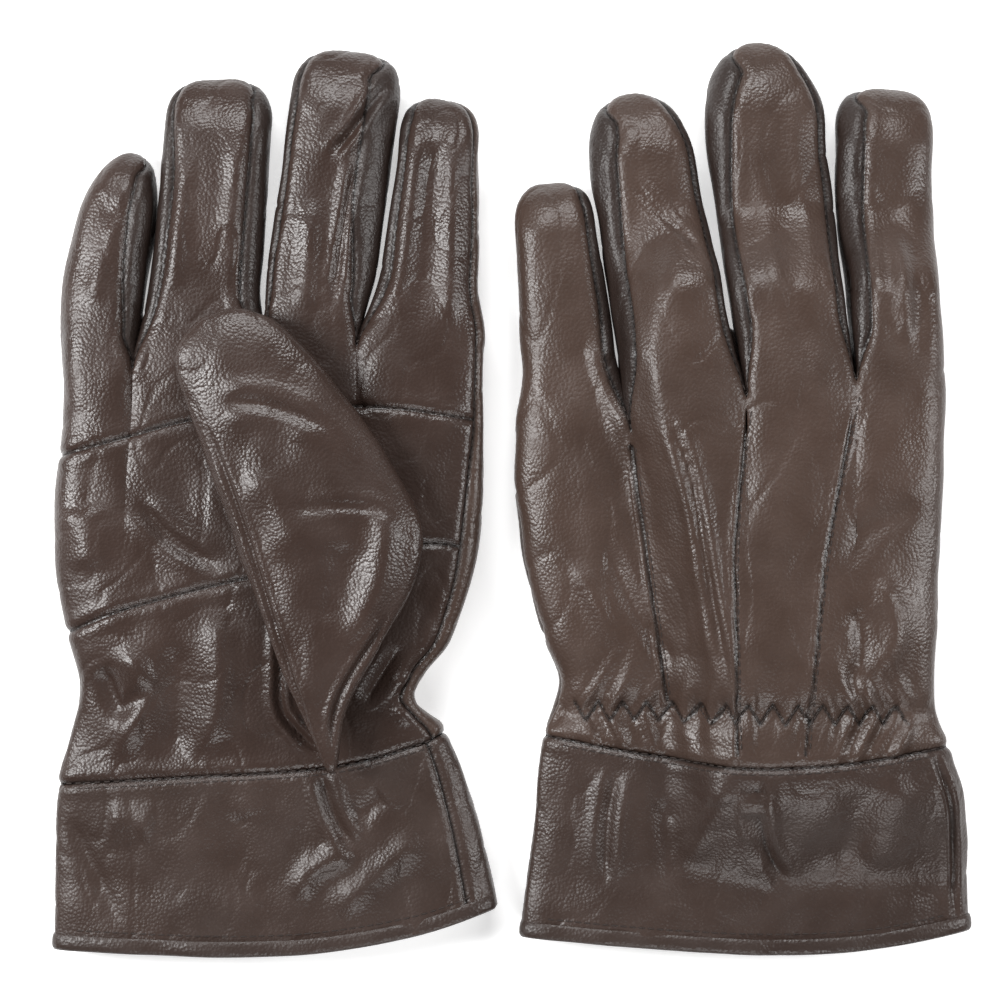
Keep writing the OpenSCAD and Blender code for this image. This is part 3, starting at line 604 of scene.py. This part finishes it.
CUFF_FOLDS = (
    ((-1.2, 1.8, True, ((0.3, -78), (0.33, -90), (0.4, -101))),
     (1.2, 3.6, False, ((0.42, -100), (0.2, -106), (0.1, -116))),
     (1.1, 4, False, ((0.75, -95), (0.5, -107), (0.25, -119))),
     (-0.8, 3.4, False, ((0.6, -84), (0.4, -93))),
     (-0.6, 2.5, False, ((-0.95, -90), (-0.8, -108), (-0.68, -124))),
     (0.8, 4.5, False, ((-0.75, -91), (-0.5, -93))),
     (-0.6, 4, False, ((-0.1, -88), (-0.15, -110)))),
    ((-1.0, 1.8, True, ((-0.62, -76), (-0.66, -92), (-0.65, -112))),
     (0.9, 4, False, ((-0.12, -78), (-0.2, -92), (-0.26, -106))),
     (-1.2, 1.8, True, ((0.03, -76), (0.03, -92), (0.1, -104), (0.2, -112))),
     (0.9, 5, False, ((0.75, -78), (0.62, -94), (0.6, -108))),
     (-0.6, 5, False, ((0.5, -80), (0.42, -108))),
     (-0.6, 3.4, False, ((-0.4, -84), (-0.36, -112))),
     (-1.1, 0.9, True, ((0.91, -68), (0.92, -90), (0.94, -125)))))
# the same on a finger: finger, height, width, creased, places (across, along)
FINGER_FOLDS = (
    ((0, 0.7, 2.6, False, ((-0.2, 0.3), (0, 0.75))),
     (1, 0.7, 2.6, False, ((-0.5, 0.2), (-0.45, 0.75))),
     (1, 0.7, 2.6, False, ((0.4, 0.4), (0.45, 0.8))),
     (2, -1.3, 1.3, True, ((-0.2, 0.62), (0.2, 0.72), (0.9, 0.93))),
     (2, -0.8, 1.2, True, ((0.35, 0.66), (0.3, 0.4), (0.35, 0.1))),
     (2, 0.9, 3, False, ((-0.2, 0.1), (-0.35, 0.5))),
     (3, 1.0, 3.0, False, ((0.42, 0.02), (0.42, 0.5), (0.35, 0.95))),
     (3, 0.8, 2.6, False, ((-0.5, 0.05), (-0.5, 0.5), (-0.45, 0.9))),
     (3, -0.5, 3.5, False, ((-0.05, 0.05), (-0.05, 0.85)))),
    ((1, -0.5, 1.1, True, ((-0.3, 0.72), (0.1, 0.62), (0.8, 0.45))),
     (2, 0.5, 3, False, ((-0.2, 0.2), (-0.2, 0.8))),
     (2, 0.5, 2.5, False, ((0.5, 0.3), (0.45, 0.8))),
     (3, 1.0, 2.6, False, ((0.1, 0.12), (0.1, 0.52))),
     (3, -0.6, 2.4, False, ((0.4, 0.02), (0.45, 0.4)))))
# on the thumb: height, width, creased, places (across, row place)
THUMB_FOLDS = (
    (-0.7, 0.8, True, ((-0.84, 6.4), (-0.84, 5), (-0.84, 3), (-0.8, 1.2))),
    (-0.8, 1.0, True, ((0.9, 3.4), (0.55, 2.2), (0.3, 1.2))),
    (-0.8, 2.2, True, ((-0.6, 6.6), (0, 6.6), (0.6, 6.2))),
    (-0.5, 1.4, True, ((-0.3, 5), (0.4, 5.1), (0.8, 5))),
    (0.9, 5, False, ((-0.5, 5.6), (-0.3, 4.2))),
    (-0.8, 5, False, ((0.2, 4.6), (0, 3.2))),
    (1.0, 4.2, False, ((0.75, 5.3), (0.6, 4), (0.4, 2.8))))
# the three raised points on a back
POINTS = (((-0.46, 14), (-0.42, -20), (-0.41, -58)), ((0.07, 24), (-0.01, -15), (-0.05, -72)),
          ((0.57, 28), (0.42, -18), (0.28, -72)))
ELASTIC_Y = -61.0
ZIGZAG = (6.9, 2.8)  # pitch and height of the stitching over the elastic
FOLD_DEPTH = 1.6  # how many times deeper the folds are than their tables say


def hand_place(g, place):
    share, y = place
    return (float(mid_x(g, y) + half_x(g, y) * share), y)


def finger_place(g, i, place):
    across, along = place
    p, r, _ = finger_frame(g, i, along)
    return tuple(p + r * across)


def thumb_place(g, place):
    across, k = place
    sides = [thumb_point(g, k, np.array(a)) for a in (0.0, 180.0)]
    return tuple(mix(sides[0], sides[1], (across + 1) / 2)[:2])


def gathers(g, p):
    """The back drawn in by its elastic, with diagonal puckers that are deepest towards the sides."""
    y = p[:, 1] - ELASTIC_Y
    out = (p[:, 0] - mid_x(g, p[:, 1])) / 50
    slanted = np.stack([p[:, 0] + 0.75 * out * np.abs(y), 0.12 * p[:, 1]], -1)
    ripple = noise(slanted, 3.4, 40 + g)
    depth = (0.5 + 1.4 * np.minimum(1, np.abs(out))) * np.exp(-(y / (8 + 5 * np.abs(out))) ** 2)
    depth = depth * smooth((1.0 - np.abs(out)) / 0.2)
    return -1.3 * np.exp(-(y / 4.0) ** 2) + 0.7 * np.maximum(ripple, -0.7) * depth


def texture_relief(p, seed):
    wide = noise(p * [1, 0.5, 1], 17, seed)
    small = noise(p * [1, 0.6, 1], 5.5, seed + 1)
    crumple = np.abs(noise(p * [1, 0.7, 1], 9, seed + 2))
    return 0.4 * wide + 0.14 * small - 0.35 * np.exp(-crumple / 0.1)


def fold_relief(p, folds):
    return sum(stroke_height(p[:, :2], pts, FOLD_DEPTH * amp, width, crease)
               for amp, width, crease, pts in folds)


def placed(folds, place_of):
    return [(a, w, c, [place_of(q) for q in pts]) for a, w, c, pts in folds]


def hand_relief(g, p, n):
    """Folds on the side that shows, and points and gathers on the back."""
    folds = placed(HAND_FOLDS[g], lambda q: hand_place(g, q))
    for i, a, w, c, pts in FINGER_FOLDS[g]:
        folds.append((a, w, c, [finger_place(g, i, q) for q in pts]))
    shown = smooth((n[:, 2] - 0.05) / 0.5)
    back = smooth((n[:, 2] * face_sign(g, BACK) - 0.05) / 0.5)
    h = texture_relief(p, 11 + g) + shown * fold_relief(p, folds)
    points = sum(welt(p[:, :2], [hand_place(g, q) for q in line], 0.55) for line in POINTS)
    near = np.abs(p[:, 1] - ELASTIC_Y) < 5
    groove = np.zeros(len(p))
    groove[near] = -0.5 * np.exp(-(line_distance(p[near, :2], zigzag(g)) / 0.6) ** 2)
    return h + back * (points * smooth((26 - p[:, 1]) / 6) + gathers(g, p) + groove)


def cuff_relief(g, p, n):
    shown = smooth((n[:, 2] - 0.05) / 0.5)
    return texture_relief(p, 21 + g) + shown * fold_relief(
        p, placed(CUFF_FOLDS[g], lambda q: hand_place(g, q)))


def thumb_relief(g, p, n):
    shown = smooth((n[:, 2] - 0.05) / 0.5) * (g == RIGHT)
    return texture_relief(p, 31 + g) * 0.8 + shown * fold_relief(
        p, placed(THUMB_FOLDS, lambda q: thumb_place(g, q)))


# ---------------------------------------------------------------- pieces
def make_piece(name, p, quads, material, vertex_normals=None, seam=None):
    mesh = bpy.data.meshes.new(name)
    faces = [tuple(dict.fromkeys(f)) for f in quads.tolist()]
    mesh.from_pydata((p * MM).tolist(), [], [f for f in faces if len(f) > 2])
    mesh.shade_smooth()
    mesh.attributes.new("rest", "FLOAT_VECTOR", "POINT").data.foreach_set(
        "vector", p.astype(np.float32).ravel())
    # the seam distance stored here drives painted shade in the leather's colour
    away = np.full(len(p), NO_SEAM) if seam is None else seam
    mesh.attributes.new("seam", "FLOAT", "POINT").data.foreach_set("value", away.astype(np.float32))
    mesh.update()
    if vertex_normals is not None:
        mesh.normals_split_custom_set_from_vertices(vertex_normals.tolist())
    mesh.materials.append(material)
    obj = bpy.data.objects.new(name, mesh)
    bpy.context.scene.collection.objects.link(obj)
    return obj


def stitch_shade_distance(g, p, n):
    """Distance to the points and the zigzag stitching of a back, along which shade is painted into the
    leather's colour.
    """
    out = np.full(len(p), NO_SEAM)
    near = (n[:, 2] * face_sign(g, BACK) > 0.2) & (p[:, 1] < 20) & (p[:, 1] > -75)
    lines = [zigzag(g)] + [[hand_place(g, q) for q in line] for line in POINTS]
    out[near] = np.min([line_distance(p[near, :2], line) for line in lines], axis=0)
    return out


def finish_skin(skin, g, relief, material_of, shade_distance=None):
    """Displace the welded skin and cut it into its pieces; returns the pieces by name."""
    skin.weld()
    n = normals(skin.p, skin.q)
    e, run = nearest_seam(skin.p, [q for _, q in skin.seams])
    skin.final = skin.p + n * (seam_relief(e, run) + relief(g, skin.p, n))[:, None]
    skin.final[:, 2] = np.maximum(skin.final[:, 2], TABLE_GAP)
    skin.n = normals(skin.final, skin.q)
    # painted shade: the colour darkens within 0.8 mm of the seams and, on a back, of its stitched points and
    # zigzag
    painted_seam_shade = e if shade_distance is None else np.minimum(e, shade_distance(g, skin.p, n))
    pieces = {}
    for label in sorted(set(skin.labels)):
        q = skin.q[skin.labels == label]
        used, local = np.unique(q, return_inverse=True)
        pieces[label] = make_piece(f"{label}_skin", skin.final[used], local.reshape(q.shape),
                                   material_of(label), skin.n[used], painted_seam_shade[used])
    return pieces


def capsules(ends, radius):
    """One mesh of short round threads between pairs of points."""
    points, quads = [], []
    across = 6
    turn = np.linspace(0, 2 * math.pi, across, endpoint=False)
    rings = ((0, 0.35), (0.12, 0.85), (0.5, 1), (0.88, 0.85), (1, 0.35))
    for a, b in ends:
        d = b - a
        side = np.cross(d, [0, 0, 1.0])
        side /= max(np.linalg.norm(side), 1e-9)
        up = np.cross(side, d)
        up /= max(np.linalg.norm(up), 1e-9)
        first = len(points) * across
        for t, r in rings:
            points.append(a + d * t + radius * r * (
                np.cos(turn)[:, None] * side + np.sin(turn)[:, None] * up))
        for k in range(len(rings) - 1):
            for j in range(across):
                m = (j + 1) % across
                quads.append((first + k * across + j, first + k * across + m,
                              first + (k + 1) * across + m, first + (k + 1) * across + j))
    return np.concatenate(points), np.array(quads)


def stitch_ends(line, pitch=STITCH, length=1.7):
    """Ends of the stitches along a line of points."""
    p, run = sample(line, 0.2)
    starts = np.arange(0.4, run[-1] - length, pitch)
    def at(t):
        return np.array([np.interp(t, run, p[:, k]) for k in range(3)])
    return [(at(t), at(t + length)) for t in starts]


class Surface:
    """Looks up the finished skin's height and its points near a line."""

    def __init__(self, skin):
        self.skin = skin
        self.base = kdtree.KDTree(len(skin.p))
        self.flat = kdtree.KDTree(len(skin.p))
        for k, v in enumerate(skin.p):
            self.base.insert(v, k)
        for k in np.nonzero(skin.n[:, 2] > 0.1)[0]:
            self.flat.insert((*skin.final[k, :2], 0), int(k))
        self.base.balance()
        self.flat.balance()

    def along(self, line, lift):
        ids = [self.base.find(v)[1] for v in sample(line, 0.6)[0]]
        return self.skin.final[ids] + self.skin.n[ids] * lift

    def over(self, xy, lift):
        out = []
        for x, y in xy:
            near = self.flat.find_n((x, y, 0), 4)
            weight = np.array([1 / (f[2] + 0.05) for f in near])
            z = sum(w * self.skin.final[f[1], 2] for w, f in zip(weight, near)) / weight.sum()
            out.append((x, y, z + lift))
        return np.array(out)


def spread(points, step=1.0):
    """A smooth flat line through given points."""
    t = np.arange(len(points))
    fine = np.linspace(0, len(points) - 1, 30)
    p = np.stack([curve(list(zip(t, np.array(points, float)[:, k])), fine) for k in (0, 1)], -1)
    return sample(p, step)[0]


# ---------------------------------------------------------------- materials
def node(tree, kind, **values):
    n = tree.nodes.new(kind)
    for key, value in values.items():
        setattr(n, key, value)
    return n


def rest_noise(tree, scale, stretch=(1, 1, 1), kind="ShaderNodeTexNoise", detail=2.0):
    """Procedural texture fixed to the piece's rest shape, in millimetres."""
    rest = node(tree, "ShaderNodeAttribute", attribute_name="rest")
    mapped = node(tree, "ShaderNodeMapping")
    mapped.inputs["Scale"].default_value = [scale * k for k in stretch]
    tex = node(tree, kind)
    tex.inputs["Scale"].default_value = 1.0
    if kind == "ShaderNodeTexNoise":
        tex.inputs["Detail"].default_value = detail
    tree.links.new(rest.outputs["Vector"], mapped.inputs["Vector"])
    tree.links.new(mapped.outputs["Vector"], tex.inputs["Vector"])
    return tex


def ramp(tree, source, lo, hi, out_lo, out_hi):
    r = node(tree, "ShaderNodeMapRange")
    for key, value in (("From Min", lo), ("From Max", hi), ("To Min", out_lo), ("To Max", out_hi)):
        r.inputs[key].default_value = value
    tree.links.new(source, r.inputs["Value"])
    return r.outputs["Result"]


def product(tree, a, b):
    m = node(tree, "ShaderNodeMath", operation="MULTIPLY")
    tree.links.new(a, m.inputs[0])
    tree.links.new(b, m.inputs[1])
    return m.outputs[0]


def new_material(name, rough):
    mat = bpy.data.materials.new(name)
    mat.use_nodes = True
    tree = mat.node_tree
    shader = tree.nodes["Principled BSDF"]
    shader.inputs["Roughness"].default_value = rough
    return mat, tree, shader


def tinted(tree, shader, base, factor):
    mul = node(tree, "ShaderNodeVectorMath", operation="SCALE")
    mul.inputs[0].default_value = base
    tree.links.new(factor, mul.inputs["Scale"])
    tree.links.new(mul.outputs[0], shader.inputs["Base Color"])


def bumped(tree, shader, height, distance, before=None):
    bump = node(tree, "ShaderNodeBump")
    bump.inputs["Distance"].default_value = distance
    bump.inputs["Strength"].default_value = 1.0
    tree.links.new(height, bump.inputs["Height"])
    if before is not None:
        tree.links.new(before, bump.inputs["Normal"])
    tree.links.new(bump.outputs["Normal"], shader.inputs["Normal"])
    return bump.outputs["Normal"]


def leather(name, base, rough):
    """Pebbled glove leather: fine grain, soft wrinkles, drifting tone, and painted shade that darkens it in
    the seams and stitched lines.
    """
    mat, tree, shader = new_material(name, rough)
    tone = ramp(tree, rest_noise(tree, 0.045).outputs["Fac"], 0.3, 0.7, 0.88, 1.12)
    fleck = ramp(tree, rest_noise(tree, 1.1).outputs["Fac"], 0.3, 0.7, 0.95, 1.05)
    seam = node(tree, "ShaderNodeAttribute", attribute_name="seam")
    # painted shade in the seam grooves: the colour drops to 0.15 of the base right at a seam
    painted_seam_shade = ramp(tree, seam.outputs["Fac"], 0.1, 0.8, 0.15, 1.0)
    tinted(tree, shader, base, product(tree, product(tree, tone, fleck), painted_seam_shade))
    shader.inputs["Specular IOR Level"].default_value = 0.42
    worn = ramp(tree, rest_noise(tree, 0.09).outputs["Fac"], 0.3, 0.7, rough - 0.05, rough + 0.07)
    tree.links.new(worn, shader.inputs["Roughness"])
    cells = rest_noise(tree, 1.15, kind="ShaderNodeTexVoronoi").outputs["Distance"]
    pebble = ramp(tree, cells, 0.0, 0.9, 1.0, 0.0)
    wrinkle = rest_noise(tree, 0.35, (1, 0.55, 1), detail=3.0).outputs["Fac"]
    first = bumped(tree, shader, wrinkle, 0.00007)
    bumped(tree, shader, pebble, 0.0001, first)
    return mat


def cloth(name, base, scale, distance):
    mat, tree, shader = new_material(name, 0.85)
    wave = rest_noise(tree, scale, (1, 0.6, 1), kind="ShaderNodeTexVoronoi").outputs["Distance"]
    tinted(tree, shader, base, ramp(tree, wave, 0, 0.8, 0.75, 1.15))
    bumped(tree, shader, wave, distance)
    return mat


LEATHER_MAT = leather("leather", (0.036, 0.0218, 0.0173), 0.32)
BACK_MAT = leather("leather_back", (0.052, 0.0322, 0.0248), 0.35)
CUFF_MAT = leather("leather_cuff", (0.038, 0.0238, 0.019), 0.36)
# a darker copy of the leather for the strips between fingers: painted shade where they turn down between the
# fingers
SHADED_STRIP_MAT = leather("leather_strip", (0.022, 0.0138, 0.0112), 0.4)
BINDING_MAT = leather("binding", (0.034, 0.022, 0.018), 0.38)
KNIT_MAT = cloth("lining", (0.022, 0.017, 0.015), 0.9, 0.0002)
ELASTIC_MAT = cloth("elastic", (0.02, 0.016, 0.014), 1.4, 0.0002)
THREAD_MAT = cloth("thread", (0.028, 0.019, 0.016), 3.0, 0.00005)


def leather_of(label):
    """The backs get a lighter copy of the leather than the palm's, and the strips between fingers a darker
    copy, which is painted shade between the fingers.
    """
    if label.endswith("back_hand"):
        return BACK_MAT
    if label.endswith("_back") and "cuff" not in label and "thumb" not in label:
        return BACK_MAT
    # painted shade on the strips between fingers
    if "_strip_" in label:
        return SHADED_STRIP_MAT
    return CUFF_MAT if "_cuff_" in label else LEATHER_MAT


# ---------------------------------------------------------------- linings, binding, elastic, threads
def tube(name, rings, material):
    """Open tube through rings of points."""
    n, m = rings.shape[:2]
    ids = np.arange(n * m).reshape(n, m)
    wrap = np.concatenate([ids, ids[:, :1]], axis=1)
    q = np.stack([wrap[:-1, :-1], wrap[:-1, 1:], wrap[1:, 1:], wrap[1:, :-1]], -1).reshape(-1, 4)
    p = rings.reshape(-1, 3)
    return make_piece(name, p, q, material, normals(p, q))


def cuff_loop(g, t, d, up=0.0, count=240):
    """Closed loop round the cuff, evenly spaced."""
    share = np.linspace(0, 1, count // 2)
    top, low = [laid(lambda a: cuff_point(g, a, t, face, d, up), 0.0, 180.0, share)
                for face in (TOP[g], -TOP[g])]
    return np.concatenate([top, low[::-1]])


def hand_loop(g, y, d, count=160):
    share = -np.cos(np.linspace(0, math.pi, count // 2))
    top = plain_point(g, share, y, TOP[g], d)
    return np.concatenate([top, plain_point(g, share, y, -TOP[g], d)[::-1]])


def make_binding(g):
    """Folded strip round the hem: outside leg, rounded fold under, inside leg."""
    section = ((3.9, -0.1), (3.7, -0.55), (2.6, -0.85), (1.2, -0.95), (0.1, -0.85), (-0.6, -0.4),
               (-0.85, 0.6), (-0.8, 1.9), (-0.4, 3.0), (0.6, 3.5), (2.4, 3.5), (3.8, 3.2))
    rings = np.array([cuff_loop(g, 0.0, d, up) for up, d in section])
    flow = noise(rings[0] * [1, 0.2, 0.2], 9, 51 + g) * 0.22
    rings[:, :, 2] = np.maximum(rings[:, :, 2] + flow, TABLE_GAP)
    return tube(f"{HAND[g]}_cuff_binding_fold", rings, BINDING_MAT)


def make_linings(g):
    hand = HAND[g]
    cuff = [cuff_loop(g, t, 3.0) for t in np.linspace(0.02, 0.97, 16)]
    made = [tube(f"{hand}_cuff_lining", np.array(cuff), KNIT_MAT)]
    rows = [hand_loop(g, y, 3.2) for y in np.linspace(-66, 14, 40)]
    made.append(tube(f"{hand}_hand_lining", np.array(rows), KNIT_MAT))
    around = np.linspace(0, 360, 40, endpoint=False)
    for i, name in enumerate(NAMES):
        rows = [finger_point(g, i, s, around, TOP[g], 2.6) for s in np.linspace(0.08, 0.93, 50)]
        made.append(tube(f"{hand}_{name}_lining", np.array(rows), KNIT_MAT))
    rows = [thumb_point(g, k, around, 2.4) for k in np.linspace(1, 9.6, 50)]
    made.append(tube(f"{hand}_thumb_inner", np.array(rows), KNIT_MAT))
    return made


def make_elastic(g):
    """Woven band under the gathered leather of the back."""
    share = np.linspace(-0.86, 0.86, 150)
    rows = []
    for v in np.linspace(-3.5, 3.5, 8):
        p = plain_point(g, share, ELASTIC_Y + v, BACK, 3.0)
        rows.append(p + [0, 0, 1] * (0.15 * np.sin(share * 180))[:, None])
    p = np.array(rows)
    ids = np.arange(p.shape[0] * p.shape[1]).reshape(p.shape[:2])
    q = np.stack([ids[:-1, :-1], ids[:-1, 1:], ids[1:, 1:], ids[1:, :-1]], -1).reshape(-1, 4)
    return make_piece(f"{HAND[g]}_elastic_band", p.reshape(-1, 3), q, ELASTIC_MAT)


def zigzag(g):
    pitch, height = ZIGZAG
    x = np.arange(float(mid_x(g, ELASTIC_Y) - 48), float(mid_x(g, ELASTIC_Y) + 48), pitch / 2)
    return [(a, ELASTIC_Y + height * (-1) ** k) for k, a in enumerate(x)]


def make_threads(g, hand_surface, cuff_surface, thumb_surface):
    """Threads of each seam, grouped by the hand, finger, thumb or cuff they belong to; returns pieces by
    group.
    """
    groups = {}
    for surface in (hand_surface, cuff_surface, thumb_surface):
        for group, line in surface.skin.seams:
            if line[:, 2].mean() < 6 and g == RIGHT and "thumb" not in group:
                continue
            groups.setdefault(group, []).extend(stitch_ends(surface.along(line, 0.12)))
    share = np.linspace(-0.9, 0.9, 60)
    for pairs, up in ((HEM[g], 5.2), (CUFF_SEAM[g], -1.6)):
        flat = [hand_place(g, (u, float(curve(pairs, u)) + up)) for u in share]
        groups[f"{HAND[g]}_cuff"] += stitch_ends(cuff_surface.over(sample(flat, 1.0)[0], 0.05), 2.6, 1.9)
    if g == LEFT:
        for line in POINTS:
            flat = spread([hand_place(g, q) for q in line])
            groups["left_hand"] += stitch_ends(hand_surface.over(flat + [1.1, 0], 0.05), 2.4, 1.7)
        turns = zigzag(g)
        for a, b in zip(turns[:-1], turns[1:]):
            flat = sample([a, b], 0.6)[0]
            groups["left_hand"] += stitch_ends(hand_surface.over(flat, 0.1), 1.5, 1.1)
    made = {}
    for group, ends in groups.items():
        p, q = capsules(ends, 0.2)
        made[group] = make_piece(f"{group}_stitches", p, q, THREAD_MAT, normals(p, q))
    return made


# ---------------------------------------------------------------- which body carries a piece
def metres(p):
    """The shared frame's metres from the script's millimetres."""
    return tuple(float(v) * MM for v in p)


def bends_with_finger(piece):
    """Bake the piece's transform into its mesh."""
    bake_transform(piece)


def swings_with_thumb(piece):
    """Bake the piece's transform into its mesh."""
    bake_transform(piece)


def carry(piece, g):
    """Attach the piece to its hand's body by the piece's name; finger and thumb pieces only have their
    transforms baked.
    """
    name = piece.name
    for i, finger in enumerate(NAMES):
        if name.startswith(f"{HAND[g]}_{finger}_"):
            return bends_with_finger(piece)
    if "_thumb_" in name:
        return swings_with_thumb(piece)
    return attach(piece, f"{HAND[g]}_hand")


def stand_for(g):
    """Each CAD node is stood for by the piece that shows it."""
    hand = HAND[g]
    stands = {"back_hand": ["back_panel"], "palm_upper": ["palm_upper"], "palm_middle": ["palm_middle"],
              "palm_heel": ["palm_heel"], "ring_strip_little": ["fourchettes"],
              "cuff_palm": ["cuff_palm"], "cuff_back": ["cuff_back"], "cuff_binding_fold": ["cuff_binding"],
              "hand_lining": ["lining"], "elastic_band": ["wrist_elastic"], "hand_stitches": ["stitching"],
              "thumb_front": ["thumb_front"], "thumb_back": ["thumb_back"], "thumb_inner": ["thumb_lining"]}
    for finger in NAMES:
        strip = f"{finger}_strip_{'index' if finger != 'index' else 'little'}"
        stands.setdefault(strip, []).append(f"{finger}_tip_side")
        stands[f"{finger}_palm"] = [f"{finger}_tip_palm"]
        stands[f"{finger}_back"] = [f"{finger}_tip_back"]
        stands[f"{finger}_lining"] = [f"{finger}_tip_lining"]
    for name, nodes in stands.items():
        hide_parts(*[f"{hand}_{n}" for n in nodes])


def make_glove(g):
    hand, cuff, thumb = Skin(), Skin(), Skin()
    hand_face(hand, g, PALM)
    hand_face(hand, g, BACK)
    hand_strips(hand, g)
    cuff_skin(cuff, g)
    thumb_skin(thumb, g)
    made = list(finish_skin(hand, g, hand_relief, leather_of, stitch_shade_distance).values())
    made += finish_skin(cuff, g, cuff_relief, leather_of).values()
    made += finish_skin(thumb, g, thumb_relief, leather_of).values()
    made += make_linings(g) + [make_binding(g), make_elastic(g)]
    made += make_threads(g, Surface(hand), Surface(cuff), Surface(thumb)).values()
    stand_for(g)
    for piece in made:
        carry(piece, g)


# ---------------------------------------------------------------- floor, light and camera
VIEW_CENTRE = (-3.4, -1.1)
VIEW_WIDTH = 285.0


def area_light(name, place, size, power, aim=(0, 0, 0)):
    data = bpy.data.lights.new(name, "AREA")
    data.shape = "RECTANGLE"
    data.size, data.size_y = size
    data.energy = power
    obj = bpy.data.objects.new(name, data)
    obj.location = place
    obj.rotation_euler = (Vector(aim) - Vector(place)).to_track_quat("-Z", "Y").to_euler()
    bpy.context.scene.collection.objects.link(obj)


def make_stage():
    mesh = bpy.data.meshes.new("floor")
    mesh.from_pydata([(-3, -3, 0), (3, -3, 0), (3, 3, 0), (-3, 3, 0)], [], [(0, 1, 2, 3)])
    floor = bpy.data.objects.new("floor", mesh)
    floor.location.z = -0.0005
    mat, _, shader = new_material("paper", 0.9)
    shader.inputs["Base Color"].default_value = (0.93, 0.93, 0.93, 1)
    shader.inputs["Specular IOR Level"].default_value = 0.0
    shader.inputs["Emission Color"].default_value = (1, 1, 1, 1)
    shader.inputs["Emission Strength"].default_value = 0.45
    mesh.materials.append(mat)
    bpy.context.scene.collection.objects.link(floor)
    world = bpy.data.worlds.new("studio")
    world.use_nodes = True
    world.node_tree.nodes["Background"].inputs["Color"].default_value = (1, 1, 1, 1)
    world.node_tree.nodes["Background"].inputs["Strength"].default_value = 0.08
    bpy.context.scene.world = world
    area_light("left_softbox", (-0.62, 0.1, 0.58), (0.2, 0.42), 7.6)
    area_light("right_softbox", (0.7, 0.0, 0.5), (0.16, 0.4), 3.6)
    area_light("top_softbox", (-0.05, 0.62, 0.6), (0.5, 0.18), 5)
    area_light("front_softbox", (0.1, -0.7, 0.55), (0.4, 0.16), 2.2)


def make_camera():
    data = bpy.data.cameras.new("camera")
    data.sensor_width, data.lens = 36.0, 100.0
    camera = bpy.data.objects.new("camera", data)
    height = VIEW_WIDTH * data.lens / data.sensor_width + 12
    camera.location = metres((*VIEW_CENTRE, height))
    bpy.context.scene.collection.objects.link(camera)
    bpy.context.scene.camera = camera


bpy.context.scene.view_settings.view_transform = "Standard"
make_glove(RIGHT)
make_glove(LEFT)
make_stage()
make_camera()

seen = [np.array([o.matrix_world @ Vector(c) for c in o.bound_box]) for o in bpy.data.objects
        if o.type == "MESH" and o.name != "floor"]
seen = np.concatenate(seen)
